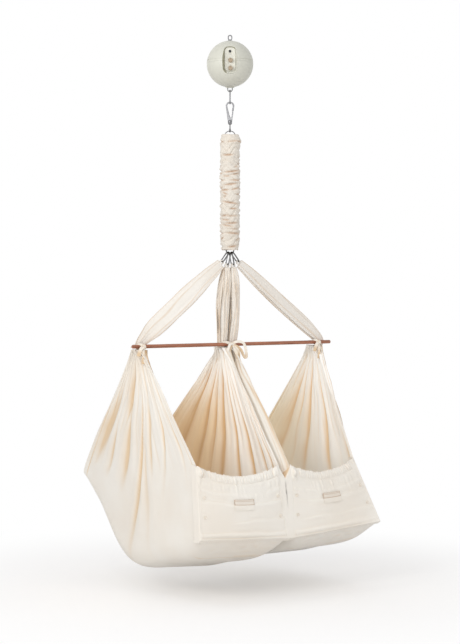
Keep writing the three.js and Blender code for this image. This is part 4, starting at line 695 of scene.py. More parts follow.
# Folds pressed into each wall: station at the rim, how far it leans per level, depth in millimetres,
# half width as a share of the wall, level where it is deepest and how far it reaches. A fold of
# negative depth is pressed in from the inner side.
WALL_FOLDS = {
    "left_outer": [
        (0.900, 0.10, 13, 0.050, 0.66, 0.26),
        (0.690, 0.09, 12, 0.042, 0.34, 0.26),
        (0.625, 0.06, 9, 0.026, 0.86, 0.26),
        (0.490, 0.09, 8, 0.009, 0.90, 0.75),
        (0.290, 0.15, 6, 0.010, 0.50, 0.45),
        (0.110, 0.00, 4, 0.008, 0.45, 0.45),
        (0.770, 0.03, 5, 0.018, 0.85, 0.25),
        (0.400, 0.05, 4, 0.012, 0.75, 0.30),
        (0.450, 0.01, 2.4, 0.014, 1.20, 0.60),
    ],
    "left_inner": [
        (0.075, 0.00, -8, 0.010, 0.45, 0.60),
        (0.150, 0.00, -7, 0.014, 0.60, 0.60),
        (0.290, 0.00, -10, 0.018, 0.70, 0.60),
        (0.400, 0.00, -7, 0.014, 0.70, 0.60),
        (0.520, 0.01, -10, 0.020, 0.70, 0.50),
        (0.590, 0.01, -6, 0.014, 0.50, 0.50),
        (0.680, 0.02, -9, 0.020, 0.60, 0.50),
        (0.820, 0.04, -10, 0.030, 0.60, 0.50),
    ],
    "right_outer": [
        (0.160, 0.00, 9, 0.012, 0.60, 0.60),
        (0.420, 0.02, 8, 0.030, 0.50, 0.50),
        (0.700, 0.02, 8, 0.030, 0.50, 0.50),
    ],
    "right_inner": [
        (0.080, 0.00, -5, 0.012, 0.50, 0.50),
        (0.240, 0.00, -8, 0.018, 0.50, 0.60),
        (0.420, 0.00, -9, 0.020, 0.60, 0.60),
        (0.600, 0.02, -9, 0.022, 0.60, 0.50),
        (0.800, 0.04, -9, 0.030, 0.60, 0.50),
    ],
}


def rounded_gather(phase, sharpness=0.75):
    """Round ridges with sharp valleys between them, from -1 to 1."""
    return 2 * np.abs(np.sin(math.pi * phase)) ** sharpness - 1


def wall_relief(down, stations, folds, seed, seen_from):
    """Height of the gathers and folds over one wall, and how much shade is painted in the folds.

    down is 0 at the tie, 1 at the rim and 2 at the bed."""
    wander = stations + 0.03 * drift(stations, down * 0.6, seed, 0.25)
    strength = np.clip(0.75 + 0.6 * drift(stations, down * 0.5, seed + 3, 0.12), 0.15, 1.5)
    fading = 1 - smooth((down - 0.55) / 0.75)
    relief = 13 * np.exp(-down / 0.075) * rounded_gather(8 * wander + seed * 0.37, 0.9)
    relief += 6 * np.exp(-down / 0.10) * rounded_gather(17 * wander + seed * 0.61)
    gathers = rounded_gather(7.5 * wander + seed * 0.31)
    relief += (8 * np.exp(-down / 0.5)) * fading * strength * gathers * seen_from
    relief += 2.2 * np.exp(-down / 0.6) * fading * rounded_gather(19 * wander + seed * 0.13) * seen_from
    painted_tint = np.zeros_like(relief)
    for station, lean, depth, half, peak, reach in folds:
        wavy = 0.008 * drift(down, np.full_like(down, station), seed + 9, 0.4)
        centre = station + lean * (down - 1) + wavy
        away = (stations - centre) / (half * (0.55 + 0.6 * down))
        lasting = ridge(down, peak, reach) * smooth(down * 8)
        relief -= depth * lasting * np.exp(-np.abs(away) ** 1.5)
        relief += 0.35 * depth * lasting * ridge(np.abs(away), 2.1, 0.9)
        # Painted shade along each fold, patchy, weaker for folds pressed in from the inner side.
        band = ridge(away, 0, np.where(away > 0, 1.7, 0.7))
        patchy = np.clip(1.1 + 0.5 * drift(stations * 2, down * 3, seed + 13, 0.5), 0.4, 1.4)
        painted_tint += (0.062 if depth > 0 else 0.04) * abs(depth) * lasting * band * patchy
    slow = drift(stations, down * 0.5, seed + 5, 0.2)
    relief += 2.5 * slow * smooth(down * 2) * (1 - smooth(down - 1.2))
    return relief, painted_tint


def hollows(relief, reach, gain):
    """Where a surface lies below its surroundings along the first direction, from 0 to 1."""
    kernel = np.exp(-np.linspace(-2, 2, 2 * reach + 1) ** 2)
    kernel /= kernel.sum()
    padded = np.pad(relief, ((reach, reach), (0, 0)), mode="edge")
    level = np.stack([np.convolve(column, kernel, mode="valid") for column in padded.T], axis=1)
    return np.clip((level - relief) * gain, 0, 1)


def sling_sheet(name, sling, folds_left, folds_right, seed):
    stations = np.linspace(0, 1, 201)
    base = sling_rows(sling, stations, SLING_STEPS)
    normals = sheet_normals(base)
    columns = base.shape[1]
    walls = SLING_STEPS[0], SLING_STEPS[0] + SLING_STEPS[1]
    place = np.arange(columns)
    s = np.repeat(stations[:, None], columns, axis=1)
    relief, painted_tint = np.zeros_like(s), np.zeros_like(s)
    beside = 18 if sling is RIGHT_SLING else 0
    for counted, folds, number, seen_from in (
        (place, WALL_FOLDS[folds_left], seed, 1),
        (columns - 1 - place, WALL_FOLDS[folds_right], seed + 20, -1),
    ):
        past_rim = (counted - walls[0]) / SLING_STEPS[1]
        down = np.where(counted <= walls[0], counted / walls[0], 1 + past_rim)
        side = counted < walls[1] + SLING_STEPS[2] / 2
        down = np.repeat(down[None], len(stations), axis=0)
        wall, fold_shade = wall_relief(down, s, folds, number, seen_from)
        ending = 1 - smooth((down - 1.6) * 1.2)
        relief += np.where(side[None], wall * ending, 0)
        if seen_from > 0:
            swell = smooth(down * 4) * (1 - smooth((down - 1.15) * 2.5))
            swell = swell * smooth(s / 0.07) * (1 - smooth((s - 0.1) / 0.3))
            nearer = 0.9 * ridge(s, 0.16, 0.07) * smooth(down * 4) * (1 - smooth((down - 0.9) * 3))
            relief += np.where(side[None], beside * (swell + nearer), 0)
            # Painted shade on the right sling's left wall, in the gap behind the left sling.
            gap_shade = smooth((s - 0.06) / 0.05) * (1 - smooth((down - 0.6) / 0.4))
            painted_tint += np.where(side[None], 0.025 * beside * gap_shade, 0)
        painted_tint += np.where(side[None], fold_shade * ending, 0)
    from_tie = np.minimum(place, columns - 1 - place)[None]
    hem = 1 - smooth((from_tie - walls[0] * 1.15) / 10)
    below_rim = smooth((from_tie - walls[0]) / 6)
    relief *= 1 - below_rim * (1 - smooth((s - 0.015) * 18))
    from_edge = np.minimum(s, 1 - s)
    relief += 1.8 * hem * ridge(from_edge, 0.004, 0.006)
    relief -= 1.5 * hem * ridge(from_edge, STITCH_LINE, 0.0045)
    relief += 0.9 * hem * smooth((STITCH_LINE - from_edge) * 200)
    under = smooth((from_tie - walls[1] - 1) / 6)
    crossing = 0.21 + 0.012 * drift(place[None] / 9, s, seed + 31, 1.0)
    relief -= 2.4 * under * ridge(s, crossing, 0.007)
    relief += 1.5 * under * ridge(s - crossing + 0.02, 0, 0.012)
    relief += 1.3 * under * ridge(s, 0.09, 0.07) * drift(place[None] / 2.5, s * 30, seed + 33, 1.0)
    # Painted shade along the groove of the seam across the bed.
    painted_tint += 0.5 * under * ridge(s, crossing, 0.006)
    # Painted shade along the hem's stitch groove, patchy, weaker on the right sling.
    stitch_groove_shade = np.clip(0.8 + 0.8 * drift(from_tie / 14, s, seed + 35, 1.0), 0.2, 1)
    stitch_groove_shade = stitch_groove_shade * hem * smooth(from_tie / 8)
    painted_tint += (0.5 - 0.022 * beside) * stitch_groove_shade * ridge(from_edge, STITCH_LINE, 0.005)
    points = base + normals * relief[..., None]
    # Painted shade in the hollows of the relief, on the outer and the inner faces, is added to the other
    # painted shade and laid on the cloth.
    outside = (hollows(relief, 5, 0.22) + hollows(relief, 16, 0.24)) * smooth(1.9 - from_tie / walls[0])
    inside = hollows(-relief, 4, 0.4) + hollows(-relief, 14, 0.2)
    left_half = place[None] < columns / 2
    shade_share = np.clip(np.where(left_half, outside, inside) * 0.8 + painted_tint, 0, 1)
    piece = cloth(f"{name}_cloth", points[:, ::-1], *SLING_SHEET, painted_shade=shade_share[:, ::-1])
    return finished(piece, *((COTTON, SHADED_INNER_FACE) if sling is LEFT_SLING else (LIGHTER_COTTON, LIGHTER_SHADED_INNER_FACE)))


def sling_body(name, sling, folds_left, folds_right, seed):
    piece = sling_sheet(name, sling, folds_left, folds_right, seed)
    thicken(piece, CLOTH, 0, 1)
    dressed(piece, "cradle", "cotton", replaces=(name,))


def sheet_area(piece):
    return sum(face.area for face in piece.data.polygons)


# Front panels with a gathered casing at the top


def panel_frame(sling):
    edges = [wall_corners(sling, side, np.array([0.0, 0.02])) for side in (-1, 1)]
    rim_l, bed_l, rim_r, bed_r = (points[0] for edge in edges for points in edge[1:])
    across = unit(bed_r - bed_l)
    up = unit(rim_l + rim_r - bed_l - bed_r)
    under = [unit(edge[2][1] - edge[2][0]) for edge in edges]
    inner = 1 if sling is LEFT_SLING else -1
    return dict(corners=(rim_l, bed_l, rim_r, bed_r), out=np.cross(across, up), under=under, inner=inner)


TURN_RADIUS = 3.2
DEEPEST_DENT = -0.9
LABEL_SPAN = 325

# Creases across a panel: level under the top, depth in millimetres and half width
PANEL_CREASES = ((0.27, 2.2, 0.03), (0.42, 3.0, 0.035), (0.70, 2.6, 0.03), (0.88, 2.4, 0.03))


def flap_width(panel, q):
    """How far the cloth beside the other sling stands out before it turns back."""
    wide = 22 if panel["inner"] > 0 else 26
    return (wide + (9.5 - wide) * smooth(q * 1.3 - 0.3)) * smooth(q * 4)


def panel_points(panel, p, q):
    """Points of a panel; p outside 0 to 1 is round its sides and q over 1 is under the bed."""
    rim_l, bed_l, rim_r, bed_r = panel["corners"]
    flat_p, flat_q = np.clip(p, 0, 1)[..., None], np.minimum(q, 1)[..., None]
    top, bottom = rim_l + (rim_r - rim_l) * flat_p, bed_l + (bed_r - bed_l) * flat_p
    point = top + (bottom - top) * flat_q
    hump = np.maximum(np.sin(math.pi * flat_p), 0)
    point[..., 2] -= (34 * hump ** 0.8 * (1 - flat_q))[..., 0]
    point = point + panel["out"] * (16 * hump * np.sin(math.pi * np.minimum(flat_q * 0.9 + 0.1, 1)))
    under = panel["under"][0] + (panel["under"][1] - panel["under"][0]) * flat_p
    point = point + under * (np.maximum(q - 1, 0) * PANEL_HEIGHT)[..., None]
    for side, past in ((-1, np.maximum(-p, 0) * PANEL_WIDTH), (1, np.maximum(p - 1, 0) * PANEL_WIDTH)):
        flap = np.minimum(past, flap_width(panel, q)) if side == panel["inner"] else 0
        angle = np.minimum((past - flap) / TURN_RADIUS, math.pi / 2)
        straight = past - flap - TURN_RADIUS * angle
        point[..., 0] += side * (flap + TURN_RADIUS * np.sin(angle) + 0.1 * straight)
        point[..., 1] += TURN_RADIUS * (1 - np.cos(angle)) + straight
    return point


def panel_relief(p, q, seed):
    """Height of the ruffled casing, the creases, the buttons' dents and the hems."""
    ends = 1 - smooth(np.minimum(p, 1 - p) * 5)
    pleats = np.sin(2 * math.pi * 31 * p + 2 * drift(p, q, seed + 1, 0.08))
    ruffle = drift(p * 60, q * 5, seed, 1.0) + 0.6 * pleats
    casing = ridge(q, 0.068, 0.045)
    puff = drift(p * 15, q * 5, seed + 15, 1.0)
    relief = 3.2 * casing * (1 + 0.25 * ruffle) + (1.0 + 3.0 * ends) * casing * ruffle * 0.5
    relief += (1.5 + 12.0 * ends) * ridge(q, 0.08, 0.07) * puff
    relief -= 2.8 * ridge(q, 0.13, 0.012)
    relief += 1.6 * ridge(q, 0, 0.012) * ruffle
    below = smooth((q - 0.13) * 12)
    relief += 1.3 * below * np.exp(-(q - 0.13) / 0.16) * drift(p * 34, q * 2.5, seed + 2, 1.0) * 2
    for level, depth, width in PANEL_CREASES:
        wavy = level + 0.02 * drift(p, np.full_like(p, level), seed + 4, 0.25)
        along = 0.55 + 0.45 * drift(p, np.full_like(p, level), seed + 6, 0.2)
        relief -= depth * ridge(q, wavy, width) * np.clip(along, 0, 1.2)
        relief += 0.7 * depth * ridge(q - wavy - 1.6 * width, 0, 1.2 * width) * np.clip(along, 0, 1.2)
    relief += 1.8 * drift(p, q, seed + 8, 0.3) * below
    for x, y in BUTTON_PLACES:
        away = np.hypot((p - x) * PANEL_WIDTH, (q - y) * PANEL_HEIGHT)
        relief -= 1.6 * ridge(away, 11, 7)
    seam = np.minimum(p, 1 - p)
    relief -= 1.1 * ridge(seam, 0.025, 0.006) * smooth((q - 0.15) * 8)
    relief -= 3.0 * ridge(q, 0.985, 0.014)
    relief += 2.2 * ridge(q, 0.94, 0.03)
    return relief


def front_panel(name, sling, tab, seed):
    panel = panel_frame(sling)
    past = np.linspace(0.13, 0.003, 34)
    left_past, right_past = (past * (1 if side == panel["inner"] else 0.66) for side in (-1, 1))
    across = np.concatenate([-left_past, np.linspace(0, 1, 221), 1 + right_past[::-1]])
    parts = np.linspace(0, 0.15, 36), np.linspace(0.158, 1, 92), np.linspace(1.005, 1.062, 12)
    down = np.concatenate(parts)
    p, q = np.meshgrid(across, down)
    points = panel_points(panel, p, q)
    relief = panel_relief(p, np.minimum(q, 1), seed)
    fold = ridge(p, tab, 0.012) - 0.8 * ridge(p - tab - 0.026, 0, 0.014)
    relief += 3.0 * fold * ridge(q, 0.1, 0.07)
    relief += 0.7 * smooth((q - 1) * 60) * np.sin(2 * math.pi * p * 44)
    relief = np.maximum(relief, DEEPEST_DENT)
    edge = smooth(np.minimum(p, 1 - p) * 40)
    # Painted shade in the hollows of the ruffles and creases, stronger near the top, none at the side edges.
    painted_shade = hollows(relief, 3, 0.5) + hollows(relief.T, 4, 0.4).T
    painted_shade = painted_shade * (0.65 + 0.35 * ridge(q, 0, 0.16)) * edge
    points = points + panel["out"] * (2.3 + relief * edge)[..., None]
    points[..., 2] += 2.6 * np.exp(-q / 0.02) * (drift(p * 40, q, seed + 11, 1.0) + 0.4)
    # Painted shade on the cloth that turns back behind the flap, in the slit between the panels.
    past_side = np.maximum(p - 1, 0) if panel["inner"] > 0 else np.maximum(-p, 0)
    beyond = past_side * PANEL_WIDTH - flap_width(panel, q)
    painted_shade = painted_shade + 0.95 * smooth((beyond - 1) / 4) * (beyond > 0)
    piece = cloth(f"{name}_cloth", points, *PANEL_SHEET, painted_shade=np.clip(painted_shade, 0, 1))
    dressed(piece, "cradle", "cotton", COTTON, replaces=(name,))
    thicken(piece, CLOTH)


def on_panel(sling, p, q, lift):
    """Where a small piece lies on a panel: its place and the directions across, up and out."""
    panel = panel_frame(sling)

    def point(x, y):
        return panel_points(panel, np.array([float(x)]), np.array([float(y)]))[0]

    across = unit(point(p + 0.01, q) - point(p - 0.01, q))
    down = point(p, q + 0.01) - point(p, q - 0.01)
    out = unit(np.cross(down, across))
    upward = np.cross(out, across)
    place = Matrix((across, upward, out)).transposed().to_4x4()
    return Matrix.Translation(Vector(point(p, q) + out * lift) * MM) @ place


def shirt_button(name, place):
    """A turned shell button with a raised rim, two holes and the thread through them."""
    profile = [
        (0, 0), (4.6, 0), (5.5, 0.8), (5.6, 1.5), (5.2, 2.2), (4.4, 2.4), (3.6, 1.9), (2.8, 1.5), (0, 1.4),
    ]
    body = spun(name, profile, (0, 0, 0), steps=32, sharp=60)
    for x in (-1.1, 1.1):
        carve(body, spun("hole", [(0, -1), (0.6, -1), (0.6, 4), (0, 4)], (x, 0, 0), steps=12))
    line = ((-1.1, 0.4), (-1.1, 1.5), (-0.7, 1.85), (0.7, 1.85), (1.1, 1.5), (1.1, 0.4))
    threads = [wire("thread", [(x, y, z) for x, z in line], 0.22, sides=1) for y in (-0.2, 0.2)]
    piece = joined(name, finished(body, BUTTON), *(finished(thread, TAPE) for thread in threads))
    piece.data.transform(place)
    return piece


def sewn_label(name, sling, seed):
    """A bare cloth label: a folded tape sewn on along its top and sides, its lower edge free."""
    width, height = 76, 40
    x, y = np.meshgrid(np.linspace(-0.5, 0.5, 61), np.linspace(0.5, -0.5, 51))
    band = 1 - smooth((0.03 - y) * 40)
    top_roll = 1.4 * ridge(y, 0.44, 0.05)
    curl = 0.8 * smooth((-0.2 - y) * 3) * (0.6 + 0.4 * np.sin(x * 5))
    stitch = -0.5 * ridge(np.abs(x), 0.46, 0.015)
    lift = 0.9 + top_roll + 1.2 * band + curl + stitch + 0.25 * drift(x * 4, y * 3, 5, 0.6)
    panel = panel_frame(sling)
    p, q = 0.5 + x * width / LABEL_SPAN, 0.45 - y * height / PANEL_HEIGHT
    ground = 3.5 + 0.65 * np.maximum(panel_relief(p, q, seed), DEEPEST_DENT)
    points = panel_points(panel, p, q) + panel["out"] * (ground + lift)[..., None]
    # Painted shade along the edges of the folded band and the sides, and a little over the band.
    outline_shade = ridge(y, 0.02, 0.03) + 0.7 * ridge(y, 0.36, 0.02) + ridge(y, 0.5, 0.03)
    outline_shade += ridge(np.abs(x), 0.5, 0.02) * band
    painted_shade = np.clip(0.16 * band + 0.8 * outline_shade, 0, 1)
    piece = cloth(f"{name}_tape", points, width, height, painted_shade=painted_shade)
    dressed(piece, "cradle", "padded_cotton", LABEL_COTTON, replaces=(name,))
    thicken(piece, LABEL_CLOTH)


def sling_set(side, sling, folds, tab, seed):
    sling_body(f"{side}_sling", sling, *folds, seed)
    front_panel(f"{side}_front_panel", sling, tab, seed + 40)
    sewn_label(f"{side}_label", sling, seed + 40)
    for number, (p, q) in enumerate(BUTTON_PLACES, start=1):
        button = shirt_button(f"{side}_shirt_button_{number}", on_panel(sling, p, q, 3.6))
        dressed(button, "cradle", "button", replaces=(f"{side}_button_{number}",))
    mattress(f"{side}_mattress", sling)


# Mattresses: crowned pads with quilting lines


def mattress(name, sling):
    first, last = 0.14, 0.75
    stations = np.linspace(first, last, 72)
    left, right = (wall_corners(sling, side, stations)[2] for side in (-1, 1))
    ahead = wall_corners(sling, -1, stations + 0.02)[2] - wall_corners(sling, -1, stations - 0.02)[2]
    ahead[:, 0] = 0
    ahead = unit(ahead)
    up = np.stack([np.zeros(len(stations)), -ahead[:, 2], ahead[:, 1]], -1)
    around = np.linspace(0, 2 * math.pi, 97)
    number = np.arange(len(stations))
    end = np.minimum(number, len(stations) - 1 - number) / 5.0
    full = np.sqrt(np.clip(1 - (1 - np.clip(end, 0, 1)) ** 2, 0, 1))
    span = right[:, 0] - left[:, 0]
    half = (span / 2 - 50 - 7 * (1 - full))[:, None]
    cosine, sine = np.cos(around)[None], np.sin(around)[None]
    x = np.sign(cosine) * np.abs(cosine) ** 0.35 * half
    lift = np.sign(sine) * np.abs(sine) ** 0.6
    share = x / half
    quilt = ridge(((stations[:, None] - first) * 8 / (last - first)) % 1, 0.5, 0.06)
    quilt = quilt + ridge(((share + 1) * 2) % 1, 0.5, 0.08)
    quilt = quilt * (lift > 0.5) * full[:, None]
    crown = np.where(lift > 0, 8 * (1 - share ** 2), 0) * full[:, None]
    height = 4.7 + 14 + 14 * lift * full[:, None] + crown * lift - 2.2 * quilt
    middle = left[:, None] + (right - left)[:, None] * (0.5 + x / span[:, None])[..., None]
    points = middle + up[:, None] * height[..., None]
    piece = cloth(f"{name}_pad", points, 560, 640, close_across=True)
    dressed(piece, "cradle", "padded_cotton", PAD_COTTON, replaces=(name,))


# Straps: cloth gathered into folded bundles, from the lower carabiners to the bar


def catmull(points, count):
    points = np.asarray(points, float)
    padded = np.concatenate([[2 * points[0] - points[1]], points, [2 * points[-1] - points[-2]]])
    path = []
    for i in range(1, len(padded) - 2):
        a, b, c, d = padded[i - 1:i + 3]
        for t in np.linspace(0, 1, 40, endpoint=i == len(padded) - 3):
            second, third = 2 * a - 5 * b + 4 * c - d, 3 * b - a - 3 * c + d
            path.append(0.5 * (2 * b + (c - a) * t + second * t ** 2 + third * t ** 3))
    path = np.array(path)
    length = np.concatenate([[0], np.cumsum(np.linalg.norm(np.diff(path, axis=0), axis=1))])
    shares = np.linspace(0, length[-1], count)
    return np.stack([np.interp(shares, length, path[:, axis]) for axis in range(3)], -1), length[-1]


CLIP_FAN = math.radians(26)
CLIP_START = 11.5
CLIP_LENGTH, CLIP_WIDTH, CLIP_WIRE, CLIP_GATE = 46, 22, 2.4, 18


def clip_direction(place):
    angle = (place - 1.5) * CLIP_FAN
    return np.array([math.sin(angle), 0, -math.cos(angle)])


def strap_start(place):
    return clip_direction(place) * (CLIP_START + 42 + 2) + np.array([0, 0, RING_Z])


# How far a strap is spread, from its clip to the bar: the two in the middle and the two outer ones.
UPRIGHT_OPENING = [0.2, 0.7, 0.93, 1, 1, 1, 1, 0.96, 0.74, 0.3, 0]
SLANTED_OPENING = [0.3, 0.58, 0.76, 0.9, 1, 1, 1, 0.97, 0.82, 0.34, 0]


def strap(name, place, foot_x, middle_width, middle_thickness, foot, belly, facing, passes, pleats, seed):
    """A cloth folded back and forth in passes, with pleats on the outside and a loop at the clip.

    foot is its width at the bar; belly bows it outwards; facing turns it, in degrees."""
    along = clip_direction(place)
    centre = strap_start(place)
    start = centre + along * 6.4
    end = np.array([foot_x, BUNDLE_Y, NECK_Z + 0.5])
    over_bar = np.array([foot_x, BUNDLE_Y, BAR_Z + 3 * BAR_RADIUS])
    middle = (start + over_bar) / 2 + np.array([np.sign(foot_x) * belly, 0, 0])
    stations = 150
    path, length = catmull([start, middle, over_bar, end], stations)
    share = np.linspace(0, 1, stations)
    tangent = unit(np.gradient(path, axis=0))
    flat = unit(np.cross(tangent, [0, 1, 0]))
    level = unit(np.cross(flat, tangent))
    opened = guide(UPRIGHT_OPENING if belly else SLANTED_OPENING, share)
    lean = math.radians(facing) * opened
    wide = flat * np.cos(lean)[:, None] + level * np.sin(lean)[:, None]
    thin = level * np.cos(lean)[:, None] - flat * np.sin(lean)[:, None]
    top_width, top_thickness, foot_thickness = 22, 11, 18
    end_width = top_width + (foot - top_width) * share
    end_thickness = top_thickness + (foot_thickness - top_thickness) * share
    width = end_width + (middle_width - end_width) * opened
    thickness = end_thickness + (middle_thickness - end_thickness) * opened
    u = np.linspace(0, 1, 34 * passes + 1)[None]
    turn = math.pi * passes * u
    layer = np.floor(u * passes - 1e-6)
    reach = 1 - 0.10 * (1 + np.sin(layer * 2.4 + seed)) * smooth(np.abs(np.cos(turn)))
    wobble = drift(share[:, None] * 3, u * passes, seed, 0.8)
    across = np.cos(turn) * reach * (1 + 0.05 * wobble) * 0.97
    depth = (1 - 2 * u) * 0.82 * np.sqrt(np.clip(1 - 0.55 * across ** 2, 0, 1))
    ripple = 0.14 * drift(share[:, None] * 2.2, across * 3.2, seed + 2, 0.9)
    wander = 0.8 * drift(share[:, None] * 2, across, seed + 7, 0.8)
    pleat = np.abs(np.sin(across * pleats * 1.57 + wander + seed))
    ripple = ripple + (0.42 if belly else 0.16) * (pleat ** 0.7 - 0.6)
    through = depth + ripple * (1 - 0.5 * np.abs(across))
    points = path[:, None] + wide[:, None] * (across * width[:, None] / 2)[..., None]
    points = points + thin[:, None] * (through * thickness[:, None] / 2)[..., None]
    # Painted shade in the pleats' creases and along the folded edges.
    crease = np.clip(1 - pleat * 3.2, 0, 1) * (0.6 if belly else 0.5)
    edge_fold_shade = ridge(np.abs(across), 0.93, 0.05) * 0.5
    body = cloth("strap_body", points, 60 * passes, length, painted_shade=np.clip(crease + edge_fold_shade, 0, 1))
    angle = np.linspace(0, 2 * math.pi, 49)
    band = np.linspace(-1, 1, 13)
    pleat = 0.35 * np.sin(band * 9)[:, None] + 0 * angle[None]
    radius = 6.4 + pleat
    loop_points = np.stack([
        centre[0] + radius * np.cos(angle)[None],
        centre[1] + band[:, None] * 4.3 + 0 * angle[None],
        centre[2] + radius * np.sin(angle)[None],
    ], -1)
    loop = cloth("strap_loop", loop_points, 40, 9, close_across=True)
    thicken(loop, 1.6)
    piece = joined(f"{name}_cloth", body, loop)
    area = sheet_area(piece)
    dressed(piece, "cradle", "cotton", STRAP_COTTON, replaces=(name,))
    piece.data.uv_layers.active = piece.data.uv_layers[0]
    thicken(piece, THIN_CLOTH)
    flat = (area / (length * MM) * 1.02, length * MM)


# Spring cover: a ruched cotton tube with soft puffs and short creases

# Creases: height over the cover's length, degrees round from the side towards the camera, half
# length in degrees, slope in millimetres across it, depth in millimetres.
COVER_CREASES = [
    (0.060, 20, 26, 3, 3.0), (0.062, 58, 12, -2, 4.0), (0.178, -14, 22, 0, 4.2), (0.280, 42, 10, 3, 3.0),
    (0.322, 14, 34, 5, 4.6), (0.342, 42, 22, 5, 3.8), (0.362, -26, 16, 0, 3.2), (0.398, 44, 30, -1, 3.6),
    (0.432, 4, 28, 4, 4.6), (0.470, 42, 22, 7, 3.8), (0.483, -40, 22, 1, 4.6), (0.512, -34, 12, -7, 3.8),
    (0.538, -36, 9, 4, 3.2), (0.592, 0, 34, -7, 4.4), (0.645, 22, 14, 0, 4.2), (0.705, -40, 20, 4, 4.0),
    (0.708, 12, 26, 1, 2.8), (0.742, -30, 22, -4, 3.2), (0.770, 12, 30, 2, 4.2), (0.792, -18, 26, -6, 3.2),
    (0.820, 28, 18, 0, 2.4), (0.858, 28, 34, -2, 4.4), (0.905, 66, 14, 8, 3.6), (0.972, 20, 22, 4, 4.4),
]


def spring_cover():
    rows, columns = 330, 181
    share = np.linspace(0, 1, rows)[:, None]
    angle = np.linspace(0, 2 * math.pi, columns)[None]
    z = COVER_TOP_Z + (COVER_BOTTOM_Z - COVER_TOP_Z) * share
    ring_x, ring_y = np.cos(angle), np.sin(angle)
    here = [np.broadcast_to(v, (rows, columns)) for v in (ring_x, ring_y, z / 60)]

    def cloud(seed, scale, stretch):
        places = zip(*(h.ravel() for h in here))
        flat = [noise.noise(Vector((a * scale, b * scale, c * stretch + seed * 5.7))) for a, b, c in places]
        return np.array(flat).reshape(rows, columns) * 1.6

    shoulder = smooth(share * 14) * smooth((1 - share) * 14)
    lobes = rounded_gather(z / 27 + 0.9 * cloud(1, 0.9, 0.8), 0.6)
    lesser = rounded_gather(z / 13 + 0.9 * cloud(2, 1.4, 1.2), 0.7)
    radius = 27.5 + 3.4 * shoulder + shoulder * (2.2 * lobes + 0.6 * lesser + 2.4 * cloud(5, 1.1, 0.7))
    crease_depth = np.zeros((rows, columns))
    camera_side = -math.pi / 2 - CAMERA_TURN
    for turn, flip in ((0, 1), (118, -1), (236, 1)):
        middle = camera_side + math.radians(turn)
        for level, degrees, half, slope, depth in COVER_CREASES:
            level = level if flip > 0 else 1 - level
            off = (angle - middle - math.radians(degrees) + math.pi) % (2 * math.pi) - math.pi
            along = off / math.radians(half * 1.45)
            line = COVER_TOP_Z + (COVER_BOTTOM_Z - COVER_TOP_Z) * level + slope * along * 0.6
            away = (z - line) / 2.9
            lasting = np.exp(-np.abs(along) ** 2.6)
            crease_depth = np.maximum(crease_depth, 1.25 * depth * lasting * np.exp(-np.abs(away) ** 1.4))
            radius = radius + 0.38 * depth * lasting * ridge(np.abs(away), 2.4, 1.3)
    radius = radius - crease_depth
    mouth = ridge(share, 0, 0.022) + ridge(share, 1, 0.02)
    ruffle = np.sin(angle * 11 + 2 * cloud(6, 1.5, 2.0))
    radius = radius + mouth * (ruffle + 1.4 * cloud(7, 2.0, 1.0))
    flare = ridge(share, 0.045, 0.035) * np.clip(np.cos(angle - camera_side - math.radians(70)), 0, 1)
    radius = np.clip(radius + 5.0 * flare, 20, 38)
    uneven = 1.8 * mouth * cloud(8, 1.8, 0.2)
    skin = np.stack([radius * ring_x, radius * ring_y, z + uneven], -1)
    tuck_rows = 14
    tuck = np.linspace(1, 0, tuck_rows)[:, None]
    fold = 22.0 + 4.5 * tuck ** 2
    turned = []
    for edge, way in ((skin[0], 1), (skin[-1], -1)):
        out = np.hypot(edge[:, 0], edge[:, 1])[None]
        inner = fold + (out - 27) * tuck ** 2 * 0.8
        step = 2.2 * np.sin(math.pi * (1 - tuck) * 0.5 + 0.4) - 30 * (1 - tuck) ** 1.3
        level = edge[None, :, 2] + way * step
        turned.append(np.stack([inner * ring_x, inner * ring_y, level + 0 * angle], -1))
    points = np.concatenate([turned[0][::-1], skin, turned[1]])
    # Painted shade in the creases, between the puffs and on the tucked ends.
    painted_shade = np.zeros(points.shape[:2])
    painted_shade[tuck_rows:-tuck_rows] = 0.75 * np.clip(crease_depth / 4.2, 0, 1) ** 1.1
    painted_shade[tuck_rows:-tuck_rows] += 0.2 * np.clip(-lobes - 0.4, 0, 1)
    painted_shade[:tuck_rows], painted_shade[-tuck_rows:] = 0.55, 0.55
    piece = cloth("ruched_cover", points, 218, 600, close_across=True, painted_shade=np.clip(painted_shade, 0, 1))
    dressed(piece, "swivel", "cotton", COVER_COTTON)
    thicken(piece, THIN_CLOTH)
    piece.parent = None
    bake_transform(piece)
    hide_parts("spring_cover")


# Spreader bar and ties


def spreader_bar():
    rounding = ((0, 0), (BAR_RADIUS - 2.2, 0), (BAR_RADIUS - 0.7, 0.6), (BAR_RADIUS, 2.2))
    profile = [(radius, BAR_LEFT_X + step) for radius, step in rounding]
    profile += [(BAR_RADIUS, x) for x in np.linspace(BAR_LEFT_X + 30, BAR_RIGHT_X - 30, 12)]
    profile += [(radius, BAR_RIGHT_X - step) for radius, step in reversed(rounding)]
    piece = spun("wooden_bar", profile, (0, 0, BAR_Z), Matrix.Rotation(math.pi / 2, 4, "Y"), steps=48)
    dressed(piece, "cradle", "wood", WOOD, replaces=("spreader_bar",))


